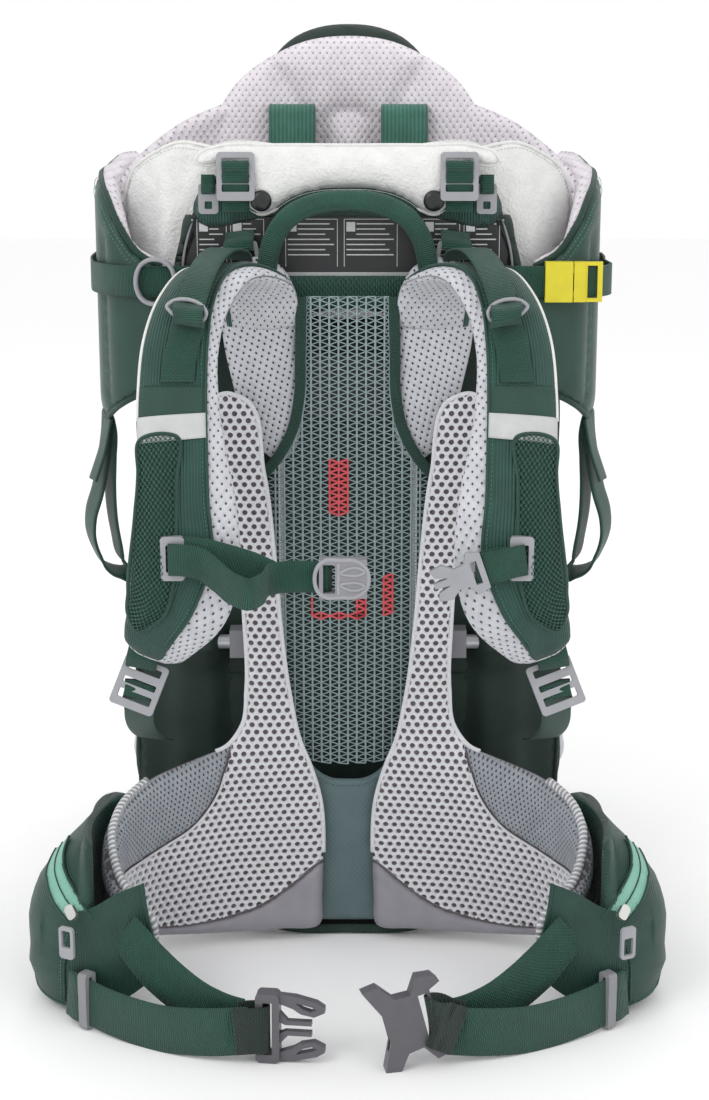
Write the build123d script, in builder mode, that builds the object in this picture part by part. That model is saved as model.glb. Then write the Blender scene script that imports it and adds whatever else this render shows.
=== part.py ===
from build123d import *
import os

# Framed child carrier, seen from the wearer's side: +X to the right, +Y from the wearer to the child,
# +Z up. The origin is the middle of the flat underside of the base tray. Sizes are millimetres.

os.makedirs("parts", exist_ok=True)

# Driving sizes of the tube frame
tube_d = 12.0  # frame tube
tube_wall = 1.5
frame_half = 80.0  # uprights from the middle plane
frame_y = 18.0
frame_top = 632.0
frame_bend = 40.0
seat_z = 250.0  # height of the seat frame
seat_half = 146.0
rear_y = 238.0  # rear bars of the seat frame and of the hoop
seat_bend = 30.0
hoop_drop = 92.0  # cockpit hoop below the top of the frame
hoop_half = 196.0
fit = 0.05  # radial clearance of a tube or pin in its bore
gap = 1.0  # space left between two layers that only touch when loaded

# Driving sizes of the base and of the kickstand
tray_w = 200.0
tray_front = -10.0
tray_rear = 80.0
tray_t = 8.0
socket_wall = 5.0
stand_d = 14.0
stand_wall = 1.5
stand_half = 222.0  # corners of the kickstand from the middle plane
stand_reach = 341.0
pin_r = 4.0
hinge_y = 190.0

# Driving sizes of the webbing
waist_web = 38.0
strap_web = 25.0
chest_web = 20.0
web_t = 2.0

# Depths of the layers in front of the frame, from the wearer backwards
net_y = -15.0
net_t = 2.0
band_y = -27.0
band_t = 12.0
petal_y = -7.0
petal_t = 10.0
panel_t = 3.0
rail_y = 5.0
rail_d = 5.0

# Levels worked out from the sizes above
hoop_z = frame_top - hoop_drop
tube_r = tube_d / 2
stand_r = stand_d / 2
socket_r = tube_r + fit
boss_r = socket_r + socket_wall
clamp_r = socket_r + 3  # half the thickness of a frame clamp
panel_y = frame_y - clamp_r - gap - panel_t / 2 + fit
rail_half = frame_half - 25
bag_top = seat_z - 22
bag_half = seat_half + tube_r + 6
harness_z = frame_top - 60  # crown of the shoulder straps
hinge_z = seat_z - 7


def tube(points, bends, outer, bore):
    """A bent round tube along straight runs and tangent arcs."""
    with BuildLine() as path:
        if len(points) > 2:
            FilletPolyline(*points, radius=bends)
        else:
            Line(*points)
    with BuildSketch(Plane(origin=path.line @ 0, z_dir=path.line % 0)) as section:
        Circle(outer / 2)
        Circle(bore / 2, mode=Mode.SUBTRACT)
    sweep(section.sketch, path=path.line)


def strip(stations):
    """A band of webbing or padding, lofted through (centre, across, width, thickness) stations."""
    centres = [Vector(*station[0]) for station in stations]
    sections = []
    for i, (_, across, width, thickness) in enumerate(stations):
        run = centres[min(i + 1, len(centres) - 1)] - centres[max(i - 1, 0)]
        side = Vector(*across)
        run = run - side * (side.dot(run) / side.dot(side))
        with BuildSketch(Plane(origin=centres[i], x_dir=side, z_dir=run)) as section:
            Rectangle(width, thickness)
        sections.append(section.sketch)
    loft(sections, ruled=True)


def block(x, y, z, mode=Mode.ADD):
    """A box given by its two limits along each axis."""
    with BuildSketch(Plane.XY.offset(z[0])) as base:
        with Locations(((x[0] + x[1]) / 2, (y[0] + y[1]) / 2)):
            Rectangle(x[1] - x[0], y[1] - y[0])
    extrude(base.sketch, amount=z[1] - z[0], mode=mode)


def bore(origin, direction, radius, depth):
    """A round hole cut from its mouth along a direction."""
    with BuildSketch(Plane(origin=origin, z_dir=direction)) as mouth:
        Circle(radius)
    extrude(mouth.sketch, amount=depth, mode=Mode.SUBTRACT)


def rod(origin, direction, radius, length):
    """A round bar from its end along a direction."""
    with BuildSketch(Plane(origin=origin, z_dir=direction)) as end:
        Circle(radius)
    extrude(end.sketch, amount=length)


def plate(plane, outline, thickness):
    """A flat plate with a polygon outline, centred on its plane."""
    with BuildSketch(plane) as face:
        Polygon(*outline, align=None)
    extrude(face.sketch, amount=thickness / 2, both=True)


def both_sides(half):
    """The outline of a symmetrical plate from the points of its right half."""
    return half + [(-x, z) for x, z in reversed(half)]


def front_plane(y):
    """A plane facing the wearer, with X to the right and Z up."""
    return Plane(origin=(0, y, 0), x_dir=(1, 0, 0), z_dir=(0, -1, 0))


def save(name, part):
    """Label a finished piece and write its file."""
    part.label = name
    export_step(part, "parts/" + name + ".step")


# ---- Tube frame -------------------------------------------------------------------------------

tray_floor = tray_t - 2  # the uprights stand on the floor of their sockets
screw_r = 2.0
screw_z = tray_t + 8

with BuildPart() as main_frame:
    legs = both_sides([(frame_half, tray_floor), (frame_half, frame_top)])
    tube([(x, frame_y, z) for x, z in legs], frame_bend, tube_d, tube_d - 2 * tube_wall)
    for x in (-frame_half, frame_half):
        bore((x, frame_y - tube_d, screw_z), (0, 1, 0), screw_r + fit, 2 * tube_d)
save("main_frame", main_frame.part)

with BuildPart() as base_tray:
    with BuildSketch():
        with Locations((0, (tray_front + tray_rear) / 2)):
            RectangleRounded(tray_w, tray_rear - tray_front, 14)
    extrude(amount=tray_t)
    for x in (-frame_half, frame_half):
        rod((x, frame_y, tray_t), (0, 0, 1), boss_r, 16)
        bore((x, frame_y, tray_t + 16), (0, 0, -1), socket_r, tray_t + 16 - tray_floor)
        bore((x, frame_y - boss_r, screw_z), (0, 1, 0), screw_r + fit, 2 * boss_r)
save("base_tray", base_tray.part)

with BuildPart() as base_screws:
    for x in (-frame_half, frame_half):
        rod((x, frame_y - boss_r, screw_z), (0, 1, 0), screw_r, 2 * boss_r)
        rod((x, frame_y - boss_r - 2.5, screw_z), (0, 1, 0), 2 * screw_r, 2.5)
save("base_screws", base_screws.part)

clamp_reach = tube_r + 2  # from the upright's axis to the end of the side tube's socket
side_start = frame_half + clamp_reach

with BuildPart() as seat_frame:
    corners = [(side_start, frame_y), (seat_half, frame_y), (seat_half, rear_y)]
    outline = [(-x, y) for x, y in corners] + corners[::-1]
    tube([(x, y, seat_z) for x, y in outline], seat_bend, tube_d, tube_d - 2 * tube_wall)
save("seat_frame", seat_frame.part)

with BuildPart() as cockpit_hoop:
    corners = [(side_start, frame_y), (hoop_half - 34, frame_y)]
    corners += [(hoop_half, frame_y + 80), (hoop_half - 6, rear_y)]
    outline = [(-x, y) for x, y in corners] + corners[::-1]
    tube([(x, y, hoop_z) for x, y in outline], 38, tube_d, tube_d - 2 * tube_wall)
save("cockpit_hoop", cockpit_hoop.part)

stay_low = seat_z + clamp_reach
stay_high = hoop_z - clamp_reach
with BuildPart() as back_stays:
    for x in (-frame_half, frame_half):
        tube([(x, rear_y, stay_low), (x, rear_y, stay_high)], 0, tube_d, tube_d - 2 * tube_wall)
save("back_stays", back_stays.part)

clamp_socket = 12.0  # depth of a clamp's side socket
clamp_end = side_start + clamp_socket
rail_low = 110.0
rail_high = hoop_z - 12  # the rails end below the hoop's clamps
rail_clip = 8.0
with BuildPart() as frame_clamps:
    for z in (seat_z, hoop_z):
        for side in (-1, 1):
            limits = sorted((side * (frame_half - clamp_r), side * clamp_end))
            block(limits, (frame_y - clamp_r, frame_y + clamp_r), (z - 12, z + 12))
            bore((side * frame_half, frame_y, z - 12), (0, 0, 1), socket_r, 24)
            bore((side * clamp_end, frame_y, z), (-side, 0, 0), socket_r, 12)
    for z, way in ((seat_z, 1), (hoop_z, -1)):
        for x in (-frame_half, frame_half):
            limits = sorted((z - way * clamp_r, z + way * (clamp_reach + 12)))
            block((x - clamp_r, x + clamp_r), (rear_y - clamp_r, rear_y + clamp_r), limits)
            bore((x - clamp_r, rear_y, z), (1, 0, 0), socket_r, 2 * clamp_r)
            bore((x, rear_y, z + way * (clamp_reach + 12)), (0, 0, -way), socket_r, 12)
    for z in (rail_low, rail_high - rail_clip):
        for side in (-1, 1):
            limits = sorted((side * (rail_half - 5), side * (frame_half - tube_r)))
            block(limits, (rail_y - 5, frame_y + 2), (z, z + rail_clip))
            bore((side * rail_half, rail_y, z), (0, 0, 1), rail_d / 2 + fit, rail_clip)
save("frame_clamps", frame_clamps.part)

with BuildPart() as slide_rails:
    for x in (-rail_half, rail_half):
        rod((x, rail_y, rail_low), (0, 0, 1), rail_d / 2, rail_high - rail_low)
save("slide_rails", slide_rails.part)

# ---- Kickstand --------------------------------------------------------------------------------

bracket_out = seat_half + tube_r + 12
eye_w = stand_d - 2
eye_r = pin_r + fit + 5
eye_x = bracket_out + gap + eye_w / 2
leg_top = Vector(eye_x, hinge_y, hinge_z)
leg_foot = Vector(stand_half, stand_reach, stand_r)
leg_way = (leg_foot - leg_top).normalized()
spigot_start = eye_r + 3

with BuildPart() as kickstand_hinges:
    for side in (-1, 1):
        limits = sorted((side * (seat_half - clamp_r), side * bracket_out))
        block(limits, (hinge_y - 12, hinge_y + 12), (hinge_z - 12, seat_z + clamp_r))
        bore((side * seat_half, hinge_y - 12, seat_z), (0, 1, 0), socket_r, 24)
        bore((side * bracket_out, hinge_y, hinge_z), (-side, 0, 0), pin_r, 9)
save("kickstand_hinges", kickstand_hinges.part)

with BuildPart() as hinge_pins:
    for side in (-1, 1):
        start = side * (bracket_out - 9)
        rod((start, hinge_y, hinge_z), (side, 0, 0), pin_r, 9 + gap + eye_w + gap)
        head = side * (bracket_out + eye_w + 2 * gap)
        rod((head, hinge_y, hinge_z), (side, 0, 0), pin_r + 3, 3)
save("hinge_pins", hinge_pins.part)

with BuildPart() as kickstand_eyes:
    for side in (-1, 1):
        way = (side * leg_way.X, leg_way.Y, leg_way.Z)
        rod((side * (eye_x - eye_w / 2), hinge_y, hinge_z), (side, 0, 0), eye_r, eye_w)
        rod((side * eye_x, hinge_y, hinge_z), way, stand_r - stand_wall - fit, spigot_start + 22)
        rod((side * eye_x, hinge_y, hinge_z), way, stand_r - 2, spigot_start)
        bore((side * (eye_x - eye_w / 2 - 2), hinge_y, hinge_z), (side, 0, 0), pin_r + fit, eye_w + 4)
save("kickstand_eyes", kickstand_eyes.part)

with BuildPart() as kickstand:
    start = leg_top + leg_way * spigot_start
    right = [(start.X, start.Y, start.Z), (leg_foot.X, leg_foot.Y, leg_foot.Z)]
    left = [(-x, y, z) for x, y, z in right]
    tube(left + right[::-1], 52, stand_d, stand_d - 2 * stand_wall)
save("kickstand", kickstand.part)

# ---- Back system ------------------------------------------------------------------------------

net_top = hoop_z + 2
with BuildPart() as back_net:
    half = [(33, net_top), (35, net_top - 80), (48, net_top - 118), (71, net_top - 146)]
    half += [(64, 295), (54, 208), (44, 176), (24, 160)]
    plate(front_plane(net_y), both_sides(half), net_t)
save("back_net", back_net.part)

panel_low = 14.0
with BuildPart() as lumbar_panel:
    half = [(40, 178), (25, 132), (23, 80), (24, panel_low)]
    plate(front_plane(net_y - 5), both_sides(half), 6)
save("lumbar_panel", lumbar_panel.part)

fin_split = 97.0  # where the lumbar pad ends and the hinged hip fin starts
fin_gap = 4.0
pad_t = 12.0
with BuildPart() as lumbar_pads:
    for side in (-1, 1):
        pads = [(28, -32, 12, 128), (42, -33, 11, 172), (70, -37, 11, 176), (fin_split, -42, 12, 172)]
        strip([((side * x, y, (low + high) / 2), (0, 0, 1), high - low, pad_t) for x, y, low, high in pads])
save("lumbar_pads", lumbar_pads.part)

band_top = frame_top - 167
with BuildPart() as back_bands:
    for side in (-1, 1):
        edges = [(178.5, 40, 97), (215, 48, 84), (282, 56, 86), (333, 61, 88)]
        edges += [(405, 68, 97), (band_top, 84, 112)]
        strip([((side * (a + b) / 2, band_y, z), (1, 0, 0), b - a, band_t) for z, a, b in edges])
save("back_bands", back_bands.part)

panel_top = frame_top - 1
with BuildPart() as front_panel:
    half = [(112, panel_top), (137, frame_top - 61), (137, frame_top - 94)]
    plate(front_plane(panel_y), both_sides(half), panel_t)
save("front_panel", front_panel.part)

chin_front = -4.0
chin_top = frame_top + 29
with BuildPart() as chin_pad:
    block((-118, 118), (chin_front, 40), (frame_top + tube_r + gap, chin_top))
    block((-75, 75), (chin_front, panel_y - panel_t / 2 - gap), (frame_top - 32, chin_top))
    block((-118, 118), (frame_y + tube_r + gap, 40), (frame_top - 50, chin_top))
    for side in (-1, 1):
        wings = [(116, 24, 86, -4), (150, 38, 84, -17), (178, 66, 76, -34)]
        strip([((side * x, y, frame_top + z), (0, 0, 1), high, 8) for x, y, high, z in wings])
save("chin_pad", chin_pad.part)

snap_r = 8.0
with BuildPart() as snap_fasteners:
    for x in (-68.5, 68.5):
        rod((x, chin_front, frame_top - 11), (0, -1, 0), snap_r, 2)
        rod((x, chin_front - 2, frame_top - 11), (0, -1, 0), snap_r - 2, 1.5)
save("snap_fasteners", snap_fasteners.part)


def fitting(plane, width, height, slots, thickness=3.5):
    """A moulded webbing fitting: a rounded plate with (offset, width, height) slots."""
    with BuildSketch(plane) as face:
        RectangleRounded(width, height, min(3, height / 2.5))
        for offset, slot_w, slot_h in slots:
            with Locations((0, offset)):
                RectangleRounded(slot_w, slot_h, 1.2, mode=Mode.SUBTRACT)
    extrude(face.sketch, amount=thickness / 2, both=True)


with BuildPart() as top_ladders:
    for x in (-88.5, 88.5):
        spot = Plane(origin=(x, chin_front - 4, frame_top + 8), x_dir=(1, 0, 0), z_dir=(0, -1, 0.1))
        slots = [(11, chest_web + 2, 7), (0, chest_web + 2, 4), (-9, chest_web + 2, 6)]
        fitting(spot, chest_web + 10, 38, slots)
save("top_ladders", top_ladders.part)

with BuildPart() as canopy_hooks:
    for x in (-111, 111):
        spot = Plane(origin=(x, panel_y - 4, frame_top - 10), x_dir=(1, 0, 0), z_dir=(0, -1, 0))
        fitting(spot, 16, 24, [(6, 10, 5), (-5, 6, 6)], 3)
save("canopy_hooks", canopy_hooks.part)

lifter_z = frame_top - 54
with BuildPart() as lifter_rings:
    for side in (-1, 1):
        spot = Plane(origin=(side * 87, -6, lifter_z), x_dir=(1, 0, -0.2 * side), z_dir=(0, -1, 0))
        fitting(spot, strap_web + 8, 18, [(0, strap_web + 1, 10)], 3)
save("lifter_rings", lifter_rings.part)

# ---- Bag, cockpit and seat --------------------------------------------------------------------

bag_low = 30.0
bag_rear = rear_y + 12
bag_front = frame_y + tube_r + gap
with BuildPart() as pack_body:
    levels = []
    outlines = [(bag_low, bag_half - 18, 40, bag_rear - 60), (118, bag_half, bag_front, bag_rear)]
    for z, half, front, rear in outlines + [(bag_top, bag_half, bag_front, bag_rear)]:
        with BuildSketch(Plane.XY.offset(z)) as level:
            corners = [(half, front), (half, 120), (half - 20, rear)]
            Polygon(*both_sides(corners), align=None)
        levels.append(level.sketch)
    loft(levels, ruled=True)
    wall = [(bag_half, seat_z + clamp_r + 8), (bag_half, hoop_z - clamp_r - 8)]
    plate(front_plane(bag_front + 4), both_sides(wall), 6)
save("pack_body", pack_body.part)

wall_t = 6.0
with BuildPart() as cockpit_sides:
    for side in (-1, 1):
        walls = [(hoop_half - 44, 4, -197, -67), (hoop_half - 8, 14, -200, -52)]
        walls += [(hoop_half + 15, 62, -202, -36), (hoop_half + 18, 150, -198, -6)]
        walls += [(hoop_half + 14, rear_y + 4, -188, 11)]
        strip([((side * x, y, frame_top + (a + b) / 2), (0, 0, 1), b - a, wall_t) for x, y, a, b in walls])
save("cockpit_sides", cockpit_sides.part)

back_y = rear_y + clamp_r + gap + wall_t / 2 + 2
with BuildPart() as cockpit_back:
    half = [(hoop_half, frame_top + 12), (hoop_half, frame_top - 190), (bag_half - 14, bag_top + 6)]
    plate(front_plane(back_y + 3), both_sides(half), wall_t)
save("cockpit_back", cockpit_back.part)

with BuildPart() as seat_cushion:
    low, high = seat_z + tube_r + 4, seat_z + tube_r + 28
    with BuildSketch(Plane.XY.offset(low)):
        Polygon((-45, 46), (45, 46), (95, 120), (95, 205), (-95, 205), (-95, 120), align=None)
    extrude(amount=high - low)
save("seat_cushion", seat_cushion.part)

with BuildPart() as child_harness:
    for side in (-1, 1):
        route = [(50, 206, 58, 40), (50, 212, 8, 36), (46, 212, -152, 23), (24, 212, -232, 17)]
        strip([((side * x, y, frame_top + z), (1, 0, 0), wide, 5) for x, y, z, wide in route])
    plate(front_plane(212), both_sides([(20, frame_top - 234), (20, frame_top - 268)]), 9)
save("child_harness", child_harness.part)

pad_low = frame_top - 72
with BuildPart() as headrest_pad:
    half = [(60, frame_top + 114), (100, frame_top + 84), (132, frame_top + 44), (140, pad_low)]
    plate(front_plane(229), both_sides(half), 24)
save("headrest_pad", headrest_pad.part)

with BuildPart() as sunroof_pocket:
    half = [(70, frame_top + 128), (112, frame_top + 96), (118, frame_top - 10)]
    plate(front_plane(back_y + wall_t / 2 + 16), both_sides(half), 10)
save("sunroof_pocket", sunroof_pocket.part)

handle_z = hoop_z + 5
handle_y = -4.5
handle_lean = 0.15  # forward lean of the arch, per unit of height
with BuildPart() as haul_handle:
    with BuildLine() as arch:
        bends = [(-66, 0), (-57, 48), (-34, 87), (34, 87), (57, 48), (66, 0)]
        FilletPolyline(*[(x, handle_y - handle_lean * z, handle_z + z) for x, z in bends], radius=24)
    with BuildSketch(Plane(origin=arch.line @ 0, z_dir=arch.line % 0)):
        Circle(5.5)
    sweep(path=arch.line)
save("haul_handle", haul_handle.part)

# ---- Side straps and stirrups -----------------------------------------------------------------

strap_z = frame_top - 75
side_route = [(hoop_half + 22, 80), (hoop_half + 19, 50), (190, 4), (152, -7), (124, -7)]
with BuildPart() as side_straps:
    strip([((-x, y, strap_z), (0, 0, 1), strap_web, web_t) for x, y in side_route])
    strip([((x, y, strap_z), (0, 0, 1), strap_web, web_t) for x, y in ((124, -6), (140, -6), (157, -6))])
save("side_straps", side_straps.part)

buckle_y = -6.0
buckle_mouth = 180.0
with BuildPart() as side_buckle_female:
    block((158, buckle_mouth), (buckle_y - 5, buckle_y + 5), (strap_z - 16, strap_z + 16))
    block((163, buckle_mouth), (buckle_y - 3, buckle_y + 3), (strap_z - 13, strap_z + 13), Mode.SUBTRACT)
save("side_buckle_female", side_buckle_female.part)

with BuildPart() as side_buckle_male:
    block((buckle_mouth + gap, 190), (buckle_y - 4, buckle_y + 4), (strap_z - 16, strap_z + 16))
    block((190, 204), (buckle_y - 2, buckle_y + 2), (strap_z - 16, strap_z + 16))
    block((192, 200), (buckle_y - 2, buckle_y + 2), (strap_z - 13, strap_z + 13), Mode.SUBTRACT)
    for side in (-1, 1):
        limits = sorted((strap_z + side * 7, strap_z + side * 12))
        block((buckle_mouth - 14, buckle_mouth + gap), (buckle_y - 2.4, buckle_y + 2.4), limits)
save("side_buckle_male", side_buckle_male.part)

stirrup_x = hoop_half + 4
stirrup_y = 60.0
stirrup_z = frame_top - 207
for side, name in ((-1, "stirrup_left"), (1, "stirrup_right")):
    with BuildPart() as stirrup:
        spot = Plane(origin=(side * (stirrup_x + 4), stirrup_y, 0), x_dir=(1, 0, 0), z_dir=(0, -1, 0))
        outer = [(-4, stirrup_z), (0, stirrup_z), (12, stirrup_z - 52), (16, stirrup_z - 88)]
        outer += [(8, stirrup_z - 122), (-34, stirrup_z - 128)]
        outer += [(-34, stirrup_z - 118), (-2, stirrup_z - 54)]
        plate(spot, [(side * x, z) for x, z in outer], strap_web)
        inner = [(2, stirrup_z - 62), (10, stirrup_z - 88), (4, stirrup_z - 117), (-27, stirrup_z - 121)]
        with BuildSketch(spot) as hole:
            Polygon(*[(side * x, z) for x, z in inner], align=None)
        extrude(hole.sketch, amount=strap_web, both=True, mode=Mode.SUBTRACT)
    save(name, stirrup.part)

# ---- Shoulder harness -------------------------------------------------------------------------

with BuildPart() as shoulder_yoke:
    for side in (-1, 1):
        leaf = [(38, -55), (38, -137), (46, -156), (62, -158), (78, -142), (90, -110), (96, -77), (96, -55)]
        plate(front_plane(petal_y), [(side * x, harness_z + z) for x, z in leaf], petal_t)
save("shoulder_yoke", shoulder_yoke.part)

plate_half = rail_half + 9
slide_up = 20.0  # travel of the harness from its rest height
plate_high = rail_high - rail_clip - slide_up - 3
plate_low = plate_high - 50
with BuildPart() as yoke_plate:
    block((-plate_half, plate_half), (rail_y - 5.5, rail_y - 3.5), (plate_low, plate_high))
    for x in (-rail_half, rail_half):
        block((x - 5, x + 5), (rail_y - 5.5, rail_y + 5), (plate_low, plate_high))
        bore((x, rail_y, plate_low), (0, 0, 1), rail_d / 2 + fit, plate_high - plate_low)
save("yoke_plate", yoke_plate.part)

with BuildPart() as shoulder_straps:
    for side in (-1, 1):
        route = [
            (67, -9, -51, 0, 56, 10), (70, -22, -24, 0, 58, 12), (82, -44, -6, 0.5, 58, 14),
            (101, -70, -6, 0.4, 56, 14), (116, -88, -24, 0.2, 54, 14), (125, -103, -52, 0, 56, 14),
            (127, -118, -92, 0, 60, 14), (124, -131, -132, 0, 66, 14), (121, -139, -167, 0, 74, 14),
            (121, -144, -207, 0, 80, 13), (127, -144, -244, 0, 76, 12), (143, -134, -275, 0, 58, 11),
            (153, -126, -294, 0, 40, 10),
        ]
        strip([((side * x, y, harness_z + z), (1, side * turn, 0), w, t) for x, y, z, turn, w, t in route])
save("shoulder_straps", shoulder_straps.part)

ladder_lean = 0.4  # sideways lean of the lower webbing, per unit of height
for side, name in ((-1, "ladder_left"), (1, "ladder_right")):
    with BuildPart() as ladder:
        lean = side * ladder_lean
        spot = Plane(origin=(side * 163, -117, harness_z - 318), x_dir=(1, 0, lean), z_dir=(0, -1, 0.3))
        slots = [(13, strap_web + 2, 6), (1, strap_web + 2, 5), (-10, strap_web + 2, 7)]
        fitting(spot, strap_web + 11, 40, slots, 5)
    save(name, ladder.part)

slider_z = harness_z - 206
chest_y = -156.0
for side, name in ((-1, "sternum_slider_left"), (1, "sternum_slider_right")):
    with BuildPart() as slider:
        spot = Plane(origin=(side * 131, chest_y, slider_z), x_dir=(1, 0, 0), z_dir=(0, -1, 0))
        fitting(spot, 18, chest_web + 14, [(0, 10, chest_web + 1)], 5)
    save(name, slider.part)

with BuildPart() as sternum_web_left:
    route = [(121, -161, 0), (104, -164, 0), (84, -182, -4)]
    route += [(56, -184, -10), (36, -166, -12), (22, -163, -13)]
    strip([((-x, y, slider_z + z), (0, 0, 1), chest_web, web_t) for x, y, z in route])
save("sternum_web_left", sternum_web_left.part)

with BuildPart() as sternum_web_right:
    route = [(121, -161, 0), (116, -163, -3), (107, -163, -6)]
    strip([((x, y, slider_z + z), (0, 0, 1), chest_web, web_t) for x, y, z in route])
save("sternum_web_right", sternum_web_right.part)

with BuildPart() as sternum_buckle_female:
    low, high = slider_z - 13 - 15, slider_z - 13 + 15
    block((-21, 15), (-169, -158), (low, high))
    block((-5, 15), (-166.5, -160.5), (low + 3, high - 3), Mode.SUBTRACT)
    block((-18, -9), (-169, -158), (low + 4, high - 4), Mode.SUBTRACT)
save("sternum_buckle_female", sternum_buckle_female.part)

with BuildPart() as sternum_buckle_male:
    outline = [(16, 14), (6, 17), (2, 9), (-6, 8), (-14, 14), (-24, 12), (-22, 6), (-12, 3), (-24, 2)]
    outline = outline + [(x, -z) for x, z in reversed(outline)]
    spot = Plane(origin=(88, -163, slider_z - 12), x_dir=(1, 0, 0.35), z_dir=(0, -1, 0))
    plate(spot, outline, 5)
    with BuildSketch(spot) as slot:
        with Locations((9, 0)):
            Rectangle(5, 18)
    extrude(slot.sketch, amount=5, both=True, mode=Mode.SUBTRACT)
save("sternum_buckle_male", sternum_buckle_male.part)

# ---- Hip belt ---------------------------------------------------------------------------------

fin_route = [
    (fin_split + fin_gap, -43, 12, 171), (135, -57, 16, 166), (163, -73, 22, 158), (182, -98, 30, 146),
    (188, -125, 36, 130), (181, -150, 42, 108), (165, -170, 44, 92), (150, -180, 46, 84),
]
pocket_outside = [(205, -60), (240, -80), (256, -118), (250, -154), (224, -176)]
pocket_inside = [(198, -178), (204, -150), (206, -122), (199, -94), (180, -64)]
pocket_levels = [(3, 0.7), (34, 0.96), (76, 0.96), (96, 0.82), (118, 0.5), (138, 0.2)]
zip_top = Vector(245, -129, 138)
zip_low = Vector(209, -181, 90)
zip_way = (zip_top - zip_low).normalized()
pull_drop = 30.0


def pocket_outline(side, share):
    """The pocket's outline in plan, with its outer points at a share of their reach from the fin."""
    fullest = [(206 + (x - 206) * share, -118 + (y + 118) * (0.4 + 0.6 * share)) for x, y in pocket_outside]
    return [(side * x, y) for x, y in fullest + pocket_inside]


for side, end in ((-1, "left"), (1, "right")):
    with BuildPart() as hip_fin:
        sections = [((x, y, (low + high) / 2), high - low) for x, y, low, high in fin_route]
        strip([((side * x, y, z), (0, 0, 1), wide, pad_t) for (x, y, z), wide in sections])
    save("hip_fin_" + end, hip_fin.part)

    with BuildPart() as hip_pocket:
        levels = []
        for z, share in pocket_levels:
            with BuildSketch(Plane.XY.offset(z)) as level:
                Polygon(*pocket_outline(side, share), align=None)
            levels.append(level.sketch)
        loft(levels, ruled=True)
    save("hip_pocket_" + end, hip_pocket.part)

    with BuildPart() as zip_slider:
        spot = zip_low + Vector(3, -5, 3)
        body = Plane(origin=(side * spot.X, spot.Y, spot.Z), x_dir=(side * zip_way.X, zip_way.Y, zip_way.Z),
                     z_dir=(side * 0.45, -0.75, 0.45))
        fitting(body, 12, 8, [], 4)
    save("zip_slider_" + end, zip_slider.part)

    with BuildPart() as zip_pull:
        spot = zip_low + Vector(6, -14, -3 - pull_drop / 2)
        place = (side * spot.X, spot.Y, spot.Z)
        ring = Plane(origin=place, x_dir=(side * 1, 0.5, 0), z_dir=(side * 0.5, -1, 0))
        fitting(ring, 13, pull_drop - 4, [(-3, 8, 14)], 2.5)
    save("zip_pull_" + end, zip_pull.part)

    with BuildPart() as belt_web:
        inner = [(150, -191, 60), (138, -204, 46), (104, -226, 30), (82, -236, 26)]
        strip([((side * x, y, z), (0, 0, 1), waist_web, web_t) for x, y, z in inner])
        outer = [(212, -186, 24), (190, -201, 23), (150, -224, 22), (110, -240, 22), (82, -248, 24)]
        strip([((side * x, y, z), (0, 0, 1), waist_web, web_t) for x, y, z in outer])
    save("belt_web_" + end, belt_web.part)

    with BuildPart() as belt_glide:
        way = Vector(side * 22, 15, 0).normalized()
        spot = Plane(origin=(side * 201, -193.5, 24), x_dir=(-side * way.Y, side * way.X, 0), z_dir=way)
        fitting(spot, 12, waist_web + 8, [(0, web_t + 1.5, waist_web + 1.5)], 8)
    save("belt_glide_" + end, belt_glide.part)

buckle_t = 12.0
with BuildPart() as belt_buckle_male:
    spot = Plane(origin=(-46, -246, 28), x_dir=(1, -0.12, 0), z_dir=(-0.12, -1, 0))
    with BuildSketch(spot) as frame:
        with Locations((-13, 0)):
            RectangleRounded(18, waist_web + 18, 4)
            Rectangle(7, waist_web + 4, mode=Mode.SUBTRACT)
    extrude(frame.sketch, amount=buckle_t / 2, both=True)
    for side in (-1, 1):
        prong = [(-5, 27), (8, 26), (24, 22), (30, 18), (30, 14), (22, 10), (12, 12), (6, 16), (-5, 20)]
        plate(spot, [(x, side * z) for x, z in prong], 6)
        with BuildSketch(spot) as eye:
            hole = [(8, 21), (20, 18), (24, 16), (20, 14), (13, 16)]
            Polygon(*[(x, side * z) for x, z in hole], align=None)
        extrude(eye.sketch, amount=6, both=True, mode=Mode.SUBTRACT)
        plate(spot, [(x, side * z) for x, z in ((-5, 14), (2, 6), (20, 6), (20, 2.5), (0, 2.5), (-5, 5))], 5)
save("belt_buckle_male", belt_buckle_male.part)

with BuildPart() as belt_buckle_female:
    spot = Plane(origin=(47, -252, 36), x_dir=(1, 0.3, 0.25), z_dir=(0.2, -1, 0.1))
    top = [(-30, 34), (-18, 35), (-8, 22), (4, 21), (12, 33), (24, 31), (28, 25), (19, 21)]
    outline = top + [(x, -z) for x, z in reversed(top)] + [(-19, -10), (-19, 10)]
    plate(spot, outline, buckle_t)
    with BuildSketch(spot) as mouth:
        with Locations((-16, 0)):
            Rectangle(40, 34)
    extrude(mouth.sketch, amount=3.2, both=True, mode=Mode.SUBTRACT)
    with BuildSketch(spot) as slot:
        with Locations((13, 0)):
            Rectangle(7, waist_web)
    extrude(slot.sketch, amount=buckle_t, both=True, mode=Mode.SUBTRACT)
save("belt_buckle_female", belt_buckle_female.part)
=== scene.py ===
import math

import bmesh
import bpy
import numpy as np
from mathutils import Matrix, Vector
from mathutils.geometry import delaunay_2d_cdt


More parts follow.
